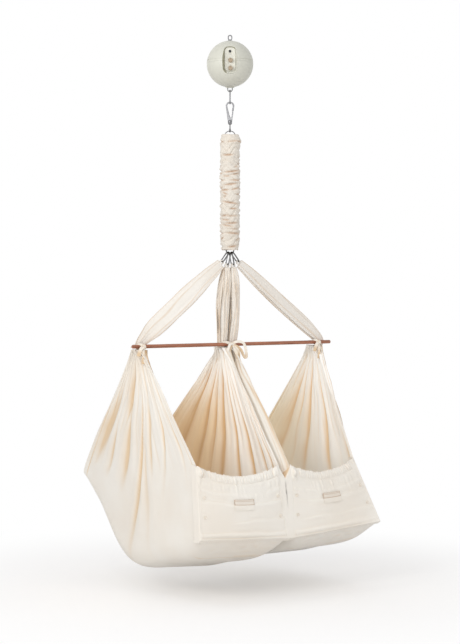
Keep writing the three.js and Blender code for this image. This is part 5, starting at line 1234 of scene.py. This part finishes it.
def tape_run(points, faces, width, shades=(0, 0), crown=0.5, steps=40):
    """A flat tape along points; faces say which way its outer side looks, shades how much painted shade it
    gets along its length; its edges get painted shade too.
    """
    path, length = catmull(points, steps)
    faces = np.asarray(faces, float)
    share, spread = np.linspace(0, 1, steps), np.linspace(0, 1, len(faces))
    looks = np.stack([np.interp(share, spread, faces[:, axis]) for axis in range(3)], -1)
    tangent = unit(np.gradient(path, axis=0))
    out = unit(looks - tangent * np.sum(looks * tangent, axis=1, keepdims=True))
    wide = np.cross(tangent, out)
    across = np.linspace(-1, 1, 9)[None, :, None]
    points = path[:, None] + wide[:, None] * across * width / 2
    points = points + out[:, None] * crown * (1 - across ** 2)
    # Painted shade along the tape by shades, and at its edges.
    shade = np.interp(share, np.linspace(0, 1, len(shades)), shades)[:, None]
    painted_shade = shade + 0.35 * np.linspace(-1, 1, 9)[None] ** 6
    return cloth("tape", points, width, length, painted_shade=np.clip(painted_shade, 0, 1)), width * length


def tape_turn(x, half_span, side):
    """Half a turn of tape: over the bar's front, round the gathered cloth and along its back."""
    lift = BAR_RADIUS + 1.7
    beyond = 4.2
    reach = half_span + beyond
    back = BUNDLE_Y + 9 + beyond
    points, faces = [], []
    for i in range(6):
        angle = i / 5 * math.radians(125)
        out = np.array([0, -math.cos(angle), side * math.sin(angle)])
        points.append(out * lift + np.array([x - side * i / 5 * (reach - 9), 0, BAR_Z]))
        faces.append(out)
    for out, y, z, looks in (
        (reach, BUNDLE_Y - 4.5, side * lift * 0.4, (-side, -0.4, side * 0.4)),
        (reach, BUNDLE_Y + 4.5, 0, (-side, 0, 0)),
        (reach - 4.5, back, 0, (-side * 0.3, 1, 0)),
        (0, back, 0, (0, 1, 0)),
    ):
        points.append(np.array([x - side * out, y, BAR_Z + z]))
        faces.append(np.array(looks, float))
    return points, faces


KNOT_Y = -BAR_RADIUS - 0.3 - 1.4 - 3.5
BOW_Y = KNOT_Y - 2.1


def knot_runs(x):
    """Three short turns of tape that cross each other."""
    runs = []
    for tilt, size in ((0.5, 6.6), (-0.7, 6.0), (1.5, 5.2)):
        points, faces = [], []
        for i in range(9):
            angle = i / 8 * 2 * math.pi
            side = np.array([math.cos(tilt), 0, math.sin(tilt)]) * math.cos(angle) * size
            depth = np.array([0, -math.sin(angle) * size * 0.62, 0])
            points.append(np.array([x, KNOT_Y + 0.4, BAR_Z]) + side + depth)
            faces.append(side + depth)
        # Painted shade round each turn, deepest at its sides, where the turns overlap.
        runs.append((points, faces, 10, (0.25, 0.05, 0.45, 0.05, 0.25)))
    return runs


def tail_run(x, out, length, low_y):
    """An end of tape that goes from the knot over the gathered cloth and hangs there."""
    points = [
        (x, BOW_Y, BAR_Z),
        (x + out * 0.5, BOW_Y - 1.5, BAR_Z - 7),
        (x + out, low_y, BAR_Z - length * 0.45),
        (x + out * 1.1, low_y, BAR_Z - length),
    ]
    faces = [(-0.4, -1, 0.4), (-0.5, -1, 0.2), (-0.6, -0.8, 0), (-0.5, -0.85, 0)]
    # Painted shade growing towards the hanging end.
    return points, faces, 9, (0.3, 0.1, 0.45, 0.9, 1)


def bow_run(x, line, width, shades):
    """A flat loop that hangs from the knot: out along the line and back inside it."""
    knot = np.array([x, BOW_Y, BAR_Z])
    faces = [(-0.4, -0.7, 0.6)] + [(-0.57, -0.8, 0.15)] * (len(line) - 1)
    return [knot + np.array(step, float) for step in line], faces, width, shades


def tie(name, x, half_span, tails, bows=()):
    # Painted shade from the bar's front towards the back of the gathered cloth.
    runs = [(*tape_turn(x, half_span, side), 11, (0.1, 0.3)) for side in (1, -1)]
    runs += knot_runs(x) + [tail_run(x, *tail) for tail in tails] + [bow_run(x, *bow) for bow in bows]
    tapes, area = [], 0
    for points, faces, width, shades in runs:
        piece, size = tape_run(points, faces, width, shades)
        tapes.append(piece)
        area += size * MM * MM
    piece = joined(f"{name}_tape", *tapes)
    dressed(piece, "cradle", "tape", TAPE, replaces=(name,))
    thicken(piece, TAPE_CLOTH)


# Carabiners, hook, rings and spring


def arc(centre, radius, start, stop, steps, toward=(1, 0, 0), upward=(0, 0, 1)):
    centre, toward, upward = (np.array(v, float) for v in (centre, toward, upward))
    angles = np.radians(np.linspace(start, stop, steps))
    return [centre + radius * (math.cos(a) * toward + math.sin(a) * upward) for a in angles]


def clip_points(length, width, radius, gate_length):
    side = width / 2 - radius
    middle = -(length / 2 - radius)
    top, bottom = middle + gate_length / 2, middle - gate_length / 2
    low = -(length - 2 * radius) + side
    end = radius * 0.85 + 0.35
    points = [np.array([side, 0, bottom - end])]
    points += arc((0, 0, low), side, 0, -180, 22) + arc((0, 0, -side), side, 180, 0, 22)
    points.append(np.array([side, 0, top + end]))
    return points, (np.array([side, 0, bottom]), np.array([side, 0, top]))


def capsule(radius, low, high):
    """Profile of a round-ended pin that stands on the Z axis."""
    ends = [(radius * math.cos(a), math.sin(a) * radius * 0.9) for a in np.radians(np.linspace(0, 90, 7))]
    ends[-1] = (0, ends[-1][1])
    return [(r, low - z) for r, z in reversed(ends)] + [(r, high + z) for r, z in ends]


def clip(body_name, gate_name, body, gate_body, place, sizes, steel, slot):
    """A wire carabiner with its gate; sizes are length, width, wire radius and the gate's length."""
    radius = sizes[2]
    points, (low, high) = clip_points(*sizes)
    points = [Matrix(place) @ Vector(point) for point in points]
    shape = wire(f"{body_name}_wire", points, radius, sides=4)
    dressed(shape, body, slot, steel, replaces=(body_name,))
    profile = capsule(radius * 0.85, low[2], high[2])
    pin = spun(f"{gate_name}_pin", profile, (0, 0, 0), steps=20, sharp=60)
    pin.data.transform(Matrix.Translation((low[0] * MM, 0, 0)))
    lifted = Matrix(place)
    lifted.translation = lifted.translation * MM
    pin.data.transform(lifted)
    dressed(pin, gate_body, "steel", STEEL, replaces=(gate_name,))


def lower_clips():
    for number in range(1, 5):
        along = Vector(clip_direction(number - 1))
        outward = Vector((0, 1, 0))
        normal = outward.cross(along).normalized()
        place = Matrix((outward, normal, -along)).transposed().to_4x4()
        place.translation = along * CLIP_START + Vector((0, 0, RING_Z))
        names = f"carabiner_{number}", f"carabiner_gate_{number}"
        sizes = CLIP_LENGTH, CLIP_WIDTH, CLIP_WIRE, CLIP_GATE
        clip(*names, "cradle", f"clip_gate_{number}", place, sizes, DARK_STEEL, "dark_steel")


def upper_clip():
    place = Matrix.Rotation(MOTOR_TURN + math.pi / 2, 4, "Z")
    place.translation = Vector((0, 0, -183.6))
    names = "upper_carabiner", "upper_carabiner_gate"
    clip(*names, "link", "link_gate", place, (50, 24, 2.45, 20), STEEL, "steel")


def plain_ring(name, radius, wire_radius, z, turn, steel, body, slot, node_name):
    points = arc((0, 0, z), radius, 0, 360, 49)[:-1]
    points = [Matrix.Rotation(turn, 3, "Z") @ Vector(p) for p in points]
    piece = wire(name, points, wire_radius, closed=True, sides=4)
    dressed(piece, body, slot, steel, replaces=(node_name,))


def spring_wire():
    radius, turns, end_radius = 15, 20, 9
    top, bottom = -374.9, -688.9
    upper_end, lower_end = -353.9 - end_radius, -709.9 + end_radius
    points = arc((0, 0, upper_end), end_radius, -60, 180, 24, toward=(0, -1, 0), upward=(0, 0, 1))
    steps = turns * 28
    for i in range(1, steps):
        share = i / steps
        angle = math.pi / 2 + share * turns * 2 * math.pi
        grown = float(smooth(i / 14)) * float(smooth((steps - i) / 14))
        eased = end_radius + (radius - end_radius) * grown
        height = top + (bottom - top) * share
        points.append(np.array([eased * math.cos(angle), eased * math.sin(angle), height]))
    points += arc((0, 0, lower_end), end_radius, 0, -240, 24, toward=(0, 1, 0), upward=(0, 0, 1))
    piece = wire("spring_coil", points, 2, sides=2)
    dressed(piece, "swivel", "steel", WIRE_STEEL)
    piece.parent = None
    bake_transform(piece)
    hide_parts("spring")


# The hook's foot and bow: heights, half the foot's width and the bow's outer radius
HOOK_BASE_Z, HOOK_BOW_Z, HOOK_FOOT, HOOK_BOW = -291.6, -236.6, 6.75, 14.5


def hook_shape():
    """The pear-shaped bow with its slanted web, cast flat with rounded edges."""
    inner = HOOK_BOW - 5.2
    web, thickness = 2.2, 5
    over = np.radians(np.linspace(0, 180, 33))
    outer_line = circle(HOOK_BOW, over, 0, HOOK_BOW_Z)
    outer_line = [(HOOK_FOOT, HOOK_BASE_Z), *outer_line, (-HOOK_FOOT, HOOK_BASE_Z)]
    inner_line = circle(inner, over, 0, HOOK_BOW_Z)
    inner_line = [(web, HOOK_BASE_Z + 15.5), *inner_line, (-web, HOOK_BASE_Z + 25)]
    bm = bmesh.new()
    loops = []
    for line in (outer_line, inner_line):
        verts = [bm.verts.new((x * MM, -thickness / 2 * MM, z * MM)) for x, z in line]
        loops.append([bm.edges.new((a, b)) for a, b in zip(verts, verts[1:] + verts[:1])])
    bmesh.ops.triangle_fill(bm, edges=loops[0] + loops[1], use_beauty=True)
    extruded(bm, bm.faces[:], (0, thickness, 0))
    bmesh.ops.recalc_face_normals(bm, faces=bm.faces)
    corners = [e for e in bm.edges if len(e.link_faces) == 2 and e.calc_face_angle() > math.radians(60)]
    rims = [e for e in corners if abs(e.verts[0].co.y - e.verts[1].co.y) < 1e-5]
    settings = dict(offset_type="OFFSET", segments=4, profile=0.5, affect="EDGES", material=-1)
    bmesh.ops.bevel(bm, geom=rims, offset=1.3 * MM, **settings)
    piece = made("hook_bow", bm, 35)
    line_x, line_z = 5.98, HOOK_BASE_Z + 13.9
    return carve(piece, block("gate_room", (16, 20, 25.6), (line_x + 4.5, 0, line_z + 10.4)))


def hook():
    bow = hook_shape()
    profile = [
        (2.35, -299.1), (4.6, -299.1), (5.9, -298.4), (6.5, -297.2), (6.7, -295.5),
        (6.7, -288.0), (6.2, -286.2), (5.0, -284.6), (2.35, -284.2),
    ]
    barrel = spun("hook_barrel", profile, (0, 0, 0), steps=48)
    profile = [(6.6, -293.2), (7.2, -292.7), (7.2, -290.7), (6.6, -290.2)]
    collar = spun("hook_collar", profile, (0, 0, 0), steps=48)
    piece = joined("cast_hook", *(finished(one, STEEL) for one in (bow, barrel, collar)))
    dressed(turned_piece(piece), "hook", "steel", replaces=("snap_hook",))
    lean = math.atan2(HOOK_BOW - HOOK_FOOT, HOOK_BOW_Z - HOOK_BASE_Z)
    pin_radius, pin_length, pin_rise = 1.9, 21, 13.9
    low_z = HOOK_BASE_Z + pin_rise
    low_x = HOOK_FOOT + pin_rise * math.tan(lean) - 2.2
    gate = spun("hook_gate_pin", capsule(pin_radius, 0, pin_length), (0, 0, 0), steps=24, sharp=60)
    gate.data.transform(Matrix.Rotation(lean, 4, "Y"))
    gate.data.transform(Matrix.Translation(Vector((low_x, 0, low_z)) * MM))
    dressed(turned_piece(gate), "hook_gate", "steel", STEEL, replaces=("snap_gate",))


def swivel():
    eye_z = -319.3
    points = arc((0, 0, eye_z), 5.2, 90, 450, 33)[:-1]
    points = [Matrix.Rotation(MOTOR_TURN + math.radians(72), 3, "Z") @ Vector(p) for p in points]
    eye = wire("eye", points, 1.6, closed=True, sides=4)
    profile = [(0, eye_z + 4.6), (1.5, eye_z + 4.8), (2.2, eye_z + 6.2), (2.0, eye_z + 8.5), (2.0, -295.6)]
    profile += [(3.4, -295.3), (3.6, -294.9), (3.6, -292.7), (3.2, -292.4), (0, -292.4)]
    stem = spun("stem", profile, (0, 0, 0), steps=32)
    piece = joined("turning_eye", finished(eye, DARK_STEEL), finished(stem, DARK_STEEL))
    dressed(piece, "swivel", "dark_steel", replaces=("swivel_eye",))


def lift_loop():
    side, corner_radius, top, bottom = 7.75, 3.2, -157.8, -188.05
    corner = side - corner_radius
    points = arc((corner, 0, top - corner_radius), corner_radius, 90, 0, 8)
    points += arc((0, 0, bottom + side), side, 0, -180, 24)
    points += arc((-corner, 0, top - corner_radius), corner_radius, 180, 90, 8)
    piece = wire("loop_wire", turned_by_motor(points), 1.75, closed=True, sides=4)
    dressed(piece, "lift", "dark_steel", DARK_STEEL, replaces=("lift_loop",))


def hanger():
    points = arc((0, 0, -4), 6, 0, 180, 16) + arc((0, 0, -8), 6, 180, 360, 16)
    eye = wire("eye", turned_by_motor(points), 2, closed=True, sides=4)
    profile = [(0, -14), (2.4, -14), (3, -14.8), (3, -58), (2.5, -60), (0, -60)]
    shank = spun("shank", profile, (0, 0, 0), steps=32)
    profile = [(3.2, -16.9), (7.2, -16.9), (7.5, -16.5), (7.5, -15.9), (7.1, -15.6), (3.2, -15.6)]
    washer = spun("washer", profile, (0, 0, 0), steps=48)
    piece = joined("top_eye", *(finished(one, STEEL) for one in (eye, shank, washer)))
    dressed(piece, "motor", "steel", replaces=("hanger_eye",))


# Motor ball


def rounded_prism(width, height, corner, y0, y1, centre_z, name="prism", draft=0, draft_up=None):
    """A block with rounded corners from y0 to y1, where it is narrower by the draft."""
    draft_up = draft if draft_up is None else draft_up
    bm = bmesh.new()
    line = []
    for sign_x, sign_z, start in ((1, 1, 0), (-1, 1, 90), (-1, -1, 180), (1, -1, 270)):
        centre = sign_x * (width / 2 - corner), sign_z * (height / 2 - corner)
        line += circle(corner, np.radians(np.linspace(start, start + 90, 13)), *centre)
    verts = [bm.verts.new((x * MM, y0 * MM, (z + centre_z) * MM)) for x, z in line]
    far = extruded(bm, [bm.faces.new(verts)], (0, y1 - y0, 0))
    around_centre = Matrix.Translation((0, 0, -centre_z * MM))
    narrower = (1 - 2 * draft / width, 1, 1 - 2 * draft_up / height)
    bmesh.ops.scale(bm, vec=narrower, verts=far, space=around_centre)
    bmesh.ops.recalc_face_normals(bm, faces=bm.faces)
    return made(name, bm)


RECESS_Z = BALL_Z + 9.5
RECESS_FLOOR_Y = -54.0
PLATE = 1.6
PLATE_Y = RECESS_FLOOR_Y - 1.9
SEAM_LOW, SEAM_HIGH = 3.7, 4

# Holes in the recess's floor for the inlet and the dials: x, height over the ball's centre, radius
DIAL_X, DIAL_HOLE = 1.5, 3.35
INLET_Z, SPEED_Z, STRENGTH_Z = 36, 6, -20.4
FLOOR_HOLES = ((0, INLET_Z, 4.9), (DIAL_X, SPEED_Z, DIAL_HOLE), (DIAL_X, STRENGTH_Z, DIAL_HOLE))


def into_ball(name, profile, x, y, z, steps):
    """A turned piece whose axis runs from the recess into the ball."""
    return spun(name, profile, (x, y, z), Matrix.Rotation(-math.pi / 2, 4, "X"), steps=steps)


def ball_shell(name, low, high):
    """Half of the ball's wall between two heights over the ball's centre."""
    outer, inner = BALL_RADIUS, BALL_RADIUS - 3
    heights = np.linspace(math.asin(low / outer), math.asin(min(high / outer, 1)), 40)
    line = circle(outer, heights)
    if abs(high) >= outer:
        line[-1] = (0, outer)
    if abs(low) >= outer:
        line[0] = (0, -outer)
    inside_low, inside_high = max(low, -inner), min(high, inner)
    heights = np.linspace(math.asin(inside_high / inner), math.asin(inside_low / inner), 30)
    back = circle(inner, heights)
    if high >= inner:
        back[0] = (0, inner)
    if low <= -inner:
        back[-1] = (0, -inner)
    profile = line + back if high < inner else back + line
    return spun(name, profile, (0, 0, BALL_Z), steps=144, sharp=30)


def shade_recess(shell):
    """Paints shade on the recess's left and upper walls, which turn away from the light, with a darker olive
    finish.
    """
    back_turn = Matrix.Rotation(-MOTOR_TURN, 3, "Z")
    for face in shell.data.polygons:
        looks, place = back_turn @ face.normal, back_turn @ face.center / MM
        face.material_index = 0
        in_recess = abs(place.x) < 29 and abs(place.z - RECESS_Z) < 55
        in_recess = in_recess and place.y < RECESS_FLOOR_Y + 0.5
        under_skin = Vector((place.x, place.y, place.z - BALL_Z)).length < BALL_RADIUS - 0.4
        turned_away = looks.y > -0.8 and (looks.x > 0.4 or looks.z < -0.45)
        if in_recess and under_skin and turned_away:
            face.material_index = 1


def ball():
    """The two halves, each with its share of the recess's tub, its holes and softened edges."""
    halves = {"housing_upper": (SEAM_HIGH, BALL_RADIUS), "housing_lower": (-BALL_RADIUS, SEAM_LOW)}
    for name, (low, high) in halves.items():
        shell = ball_shell(f"{name}_shell", low, high)
        tub = rounded_prism(56, 103, 19, -BALL_RADIUS, RECESS_FLOOR_Y + 2, RECESS_Z, draft=5)
        skin = BALL_RADIUS - 0.02
        line = [(0, -skin), *circle(skin, np.linspace(-1.5, 1.5, 60)), (0, skin)]
        limit = spun("limit", line, (0, 0, BALL_Z), steps=96)
        carve(tub, limit, "INTERSECT")
        slab = block("slab", (200, 200, high - low), (0, 0, BALL_Z + (low + high) / 2))
        carve(tub, slab, "INTERSECT")
        carve(shell, tub, "UNION")
        opening, lip = -BALL_RADIUS - 2, -60
        room = rounded_prism(50, 103, 18, opening, RECESS_FLOOR_Y, RECESS_Z, draft=7, draft_up=11)
        carve(shell, room)
        flare = rounded_prism(57.5, 110, 21, opening, lip, RECESS_Z, draft=10, draft_up=9)
        carve(shell, flare)
        if low > 0:
            carve(shell, spun("bore", [(0, -30), (3.4, -30), (3.4, 2), (0, 2)], (0, 0, 0), steps=32))
            radius = BALL_RADIUS * math.cos(math.asin(11 / BALL_RADIUS))
            line = [(radius - 1.2, 10.2), (radius + 3, 10.2), (radius + 3, 12), (radius - 1.2, 12)]
            carve(shell, spun("groove", line, (0, 0, BALL_Z), steps=144))
        else:
            carve(shell, rounded_prism_up(11.3, 5.3))
        for x, z, hole in FLOOR_HOLES:
            profile = [(0, 0), (hole, 0), (hole, 30), (0, 30)]
            carve(shell, into_ball("hole", profile, x, RECESS_FLOOR_Y - 6, BALL_Z + z, 24))
        shell.data.set_sharp_from_angle(angle=math.radians(30))
        soften = shell.modifiers.new("edge", "BEVEL")
        soften.width, soften.segments, soften.use_clamp_overlap = 0.5 * MM, 2, True
        soften.limit_method, soften.angle_limit = "ANGLE", math.radians(50)
        settle(shell)
        finished(turned_piece(shell), SHELL, RECESS_PAINTED_SHADE)
        dressed(shell, "motor", "shell", replaces=(name,))
        shade_recess(shell)


def rounded_prism_up(half_x, half_y):
    """An upright slot with round ends through the bottom of the ball."""
    bm = bmesh.new()
    line = []
    for sign, start in ((1, -90), (-1, 90)):
        line += circle(half_y, np.radians(np.linspace(start, start + 180, 13)), sign * (half_x - half_y))
    extruded(bm, [bm.faces.new([bm.verts.new((x * MM, y * MM, -0.18)) for x, y in line])], (0, 0, 30))
    bmesh.ops.recalc_face_normals(bm, faces=bm.faces)
    return made("slot", bm)


def seam_band():
    """The set-back ring between the halves, open where the recess is."""
    outer, inner = BALL_RADIUS - 1.3, BALL_RADIUS - 3.2
    gap = math.asin(25.5 / outer)
    bm = bmesh.new()
    line = [(inner, -4), (outer - 0.3, -4), (outer, -3.6), (outer, 3.3), (outer - 0.3, 3.7), (inner, 3.7)]
    face = bm.faces.new([bm.verts.new((r * MM, 0, z * MM)) for r, z in line])
    to_gap = Matrix.Rotation(-math.pi / 2 + gap, 3, "Z")
    bmesh.ops.rotate(bm, verts=bm.verts, cent=(0, 0, 0), matrix=to_gap)
    swept = dict(cent=(0, 0, 0), axis=(0, 0, 1), angle=2 * math.pi - 2 * gap, steps=128)
    bmesh.ops.spin(bm, geom=[face] + face.edges[:] + face.verts[:], **swept)
    bmesh.ops.recalc_face_normals(bm, faces=bm.faces)
    bmesh.ops.translate(bm, vec=(0, 0, BALL_Z * MM), verts=bm.verts)
    bmesh.ops.rotate(bm, verts=bm.verts, cent=(0, 0, 0), matrix=Matrix.Rotation(MOTOR_TURN, 3, "Z"))
    dressed(made("middle_band", bm), "motor", "band", BAND, replaces=("seam_band",))


def recess_panel():
    """Floor of the recess, with raised scale marks round each dial."""
    front = RECESS_FLOOR_Y - 0.3 - PLATE
    plate = rounded_prism(35.4, 76.4, 10.7, front, front + PLATE, RECESS_Z, "recess_plate")
    for x, z, hole in FLOOR_HOLES:
        profile = [(0, -10), (hole, -10), (hole, 10), (0, 10)]
        carve(plate, into_ball("hole", profile, x, front, BALL_Z + z, 32))
    marks = []
    for z in (SPEED_Z, STRENGTH_Z):
        for number in range(11):
            angle = math.radians(-45 + number * 27)
            start, long = 9.8, 1.9 if number % 5 == 0 else 1.2
            points = [
                (DIAL_X + r * math.cos(angle), front - 0.05, BALL_Z + z + r * math.sin(angle))
                for r in (start, start + long)
            ]
            marks.append(wire("mark", points, 0.3, sides=1))
    under_inlet = arc((0, front - 0.05, BALL_Z + INLET_Z), 9.4, -60, -120, 17)
    marks.append(wire("mark", under_inlet, 0.4, sides=1))
    marks = [finished(mark, DIAL_MARK) for mark in marks]
    piece = joined("recess_panel", finished(plate, PANEL), *marks)
    dressed(turned_piece(piece), "motor", "shell", replaces=("control_panel",))


def dial(name, rise, body):
    """A fluted dial with a pointer line and its shaft."""
    front_y = PLATE_Y - 0.35
    bm = bmesh.new()
    bmesh.ops.create_circle(bm, cap_ends=True, segments=72, radius=1)
    for vert in bm.verts:
        angle = math.atan2(vert.co.y, vert.co.x)
        radius = 8.0 - 0.55 * max(0.0, math.cos(angle * 12)) ** 2
        vert.co = Vector((math.cos(angle) * radius, 0, math.sin(angle) * radius)) * MM
    top = extruded(bm, bm.faces[:], (0, -9, 0))
    bmesh.ops.scale(bm, vec=(0.92, 1, 0.92), verts=top)
    bmesh.ops.recalc_face_normals(bm, faces=bm.faces)
    cap = [f for f in bm.faces if len(f.verts) > 4 and f.calc_center_median().y < -8 * MM]
    bmesh.ops.inset_region(bm, faces=cap, thickness=1.0 * MM, depth=0)
    bmesh.ops.inset_region(bm, faces=cap, thickness=0.5 * MM, depth=-0.5 * MM)
    knob = made(name, bm, 30)
    knob.data.transform(Matrix.Translation(Vector((DIAL_X, front_y, BALL_Z + rise)) * MM))
    line = [(DIAL_X, front_y - 8.75, BALL_Z + rise + height) for height in (1.5, 6.6)]
    pointer = wire("pointer", line, 0.4, sides=1)
    profile = [(0, -4), (3, -4), (3, 7.8), (2.6, 8.2), (0, 8.2)]
    shaft = into_ball("shaft", profile, DIAL_X, front_y, BALL_Z + rise, 32)
    parts = finished(knob, KNOB), finished(pointer, DIAL_MARK), finished(shaft, KNOB)
    piece = joined(f"{name}_cap", *parts)
    dressed(turned_piece(piece), body, "knob", replaces=(name,))


def inlet():
    barrel_line = [(0, 9), (3.4, 9), (3.4, 0.4), (3.7, 0.1), (4.3, 0.1), (4.5, 0.4), (4.5, 1.2)]
    profiles = {
        "barrel": (barrel_line + [(4.6, 1.2), (4.6, 11), (0, 11)], 40, BLACK),
        "pin": ([(0, 1.6), (0.6, 1.8), (1, 2.6), (1, 9.4), (0, 9.4)], 20, STEEL),
        "flange": ([(4.6, 0.3), (4.8, 0), (5.8, 0), (6.2, 0.4), (6.2, 1.2), (4.6, 1.2)], 40, PANEL),
    }
    barrel, pin, flange = (
        finished(into_ball(name, profile, 0, PLATE_Y - 0.3 - 1.2, BALL_Z + INLET_Z, steps), material)
        for name, (profile, steps, material) in profiles.items()
    )
    piece = joined("barrel_inlet", barrel, flange, pin)
    dressed(turned_piece(piece), "motor", "dark_plastic", replaces=("power_inlet",))


def kept_parts():
    """Parts inside the ball keep the frame's shape and get their finish here."""
    finishes = {
        "eye_nut": STEEL, "circuit_board": BOARD, "chassis": STEEL, "gear_motor": DARK_STEEL,
        "winch_drum": STEEL, "lift_strap": WEBBING, "loop_guide": SHELL,
    }
    for name, material in finishes.items():
        finished(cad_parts[name], material)


# Floor, world and lamps


def seen_share(tree):
    """1 for camera, mirror and glass rays, which only look, and 0 for light that spreads."""
    path = node(tree, "ShaderNodeLightPath")
    seen = sum_of(tree, "ADD", path.outputs["Is Camera Ray"], path.outputs["Is Glossy Ray"])
    return sum_of(tree, "MINIMUM", sum_of(tree, "ADD", seen, path.outputs["Is Transmission Ray"]), 1.0)


def white_world():
    world = bpy.data.worlds.new("studio")
    bpy.context.scene.world = world
    world.use_nodes = True
    tree = world.node_tree
    tree.nodes.clear()
    plain = node(tree, "ShaderNodeBackground", {"Color": (1, 1, 1, 1), "Strength": 1.0})
    soft = node(tree, "ShaderNodeBackground", {"Color": (0.97, 0.98, 1.0, 1), "Strength": WORLD_LIGHT})
    mix = node(tree, "ShaderNodeMixShader", {0: seen_share(tree), 1: soft.outputs[0], 2: plain.outputs[0]})
    leave = node(tree, "ShaderNodeOutputWorld")
    tree.links.new(mix.outputs[0], leave.inputs[0])


def pale_floor():
    """A matte floor that is seen white away from the object and keeps its shadow."""
    bm = bmesh.new()
    bmesh.ops.create_circle(bm, cap_ends=True, segments=96, radius=FLOOR_RADIUS)
    bmesh.ops.translate(bm, vec=(0, 0, FLOOR_Z), verts=bm.verts)
    floor = made("floor", bm)
    material = bpy.data.materials.new("pale_floor")
    material.use_nodes = True
    tree = material.node_tree
    tree.nodes.clear()
    coordinates = node(tree, "ShaderNodeTexCoord")
    place = node(tree, "ShaderNodeMapping", {"Vector": coordinates.outputs["Object"], "Scale": (1, 1, 0)})
    reach = node(tree, "ShaderNodeVectorMath", {0: place.outputs[0]}, operation="LENGTH").outputs["Value"]
    fade = ramp(tree, reach, 0.5, 1.5)
    matte = node(tree, "ShaderNodeBsdfDiffuse", {"Color": (0.80, 0.785, 0.77, 1)})
    lift = node(tree, "ShaderNodeEmission", {"Color": (1, 1, 1, 1), "Strength": FLOOR_LIFT})
    white = node(tree, "ShaderNodeEmission", {"Color": (1, 1, 1, 1), "Strength": 1.0})
    near = node(tree, "ShaderNodeAddShader", {0: matte.outputs[0], 1: lift.outputs[0]})
    seen = node(tree, "ShaderNodeMixShader", {0: fade, 1: near.outputs[0], 2: white.outputs[0]})
    mix = node(tree, "ShaderNodeMixShader", {0: seen_share(tree), 1: matte.outputs[0], 2: seen.outputs[0]})
    leave = node(tree, "ShaderNodeOutputMaterial")
    tree.links.new(mix.outputs[0], leave.inputs[0])
    floor.data.materials.append(material)


WORLD_LIGHT = 0.68
FLOOR_Z = -1.852
FLOOR_RADIUS = 30
FLOOR_LIFT = 0.255

# Lamps: place, width and power of each soft disk, and the height on the Z axis that it is aimed at.
LAMPS = {
    "key": ((-4.2, -2.1, 0.9), 1.8, 50.0, -1.0),
    "front": ((-2.7, -4.0, -0.9), 2.4, 46.0, -1.0),
    "fill": ((3.2, -3.2, -0.4), 3.0, 13.0, -1.0),
    "top": ((0.3, 0.2, 2.6), 2.6, 4.0, -1.0),
    "back": ((1.6, 3.6, 0.6), 2.6, 10.0, -1.0),
    "ball": ((-1.1, -0.15, 0.12), 0.5, 2.7, -0.09),
}


def soft_lamps():
    for name, (place, size, power, aimed_at) in LAMPS.items():
        lamp = bpy.data.lights.new(name, "AREA")
        lamp.shape, lamp.size, lamp.energy = "DISK", size, power
        holder = shown(name, lamp)
        holder.location = place
        holder.visible_camera = False
        aim = Vector((0, 0, aimed_at)) - Vector(place)
        holder.rotation_euler = aim.to_track_quat("-Z", "Y").to_euler()


bpy.context.scene.view_settings.view_transform = "Standard"
white_world()
pale_floor()
soft_lamps()
hanger()
ball()
seam_band()
recess_panel()
dial("speed_knob", SPEED_Z, "speed_dial")
dial("strength_knob", STRENGTH_Z, "strength_dial")
inlet()
kept_parts()
lift_loop()
upper_clip()
hook()
swivel()
plain_ring("upper_ring", 18.5, 1.5, TOP_RING_Z, MOTOR_TURN, STEEL, "swivel", "steel", "top_ring")
plain_ring("lower_ring_wire", 16, 2, RING_Z, 0, DARK_STEEL, "lower_ring", "dark_steel", "bottom_ring")
spring_wire()
spring_cover()
lower_clips()
strap("strap_left", 0, TIE_LEFT_X + 10, 66, 16, 27, 0, -25, 5, 2, 1)
strap("strap_centre_left", 1, -CENTRE_TIE, 41, 42, 36, 6, 0, 9, 4, 2)
strap("strap_centre_right", 2, CENTRE_TIE, 41, 42, 36, 6, 0, 9, 4, 3)
strap("strap_right", 3, TIE_RIGHT_X + 9, 54, 16, 34, 0, 4, 5, 2, 4)
spreader_bar()
RIGHT_LOOP = (
    (2, 3, 2), (12, -3, 8), (25, -9, 9), (37, -13, 4), (43, -15, -10), (46, -16, -26), (47, -16, -42),
    (42, -15, -45), (35, -13, -34), (29, -11, -20), (20, -7, -10), (6, -1, -2),
)
LEFT_LOOP = (
    (-2, 3, 2), (-8, -3, 3), (-15, -6, -2), (-20, -7, -12), (-24, -7, -26),
    (-20, -6, -29), (-14, -5, -18), (-8, -3, -8), (-2, 1, -2),
)
SIDE_FLAP = ((-3, 3, -1), (-10, -2, -3), (-17, -5, -9), (-23, -6, -20), (-26, -6, -31))
# Painted shade along the bow loops and the side flap, deepest on their returning and hanging parts.
LOOP_SHADES = (0.4, 0, 0, 0, 0.05, 0.1, 0.5, 0.7, 0.8, 0.9, 0.9, 0.7)
FLAP_SHADES = (0.3, 0, 0.25, 0.9, 1)
tie("tie_left", TIE_LEFT_X, 21, ((-11, 56, -25),), ((SIDE_FLAP, 12, FLAP_SHADES),))
LOOPS = ((RIGHT_LOOP, 9, LOOP_SHADES), (LEFT_LOOP, 9, LOOP_SHADES))
tie("tie_centre", 0, 38, ((5, 74, -34), (14, 50, -30)), LOOPS)
tie("tie_right", TIE_RIGHT_X, 21, ((-11, 56, -25),), ((SIDE_FLAP, 11, FLAP_SHADES),))
sling_set("left", LEFT_SLING, ("left_outer", "left_inner"), 0.44, 1)
sling_set("right", RIGHT_SLING, ("right_outer", "right_inner"), 0.42, 2)
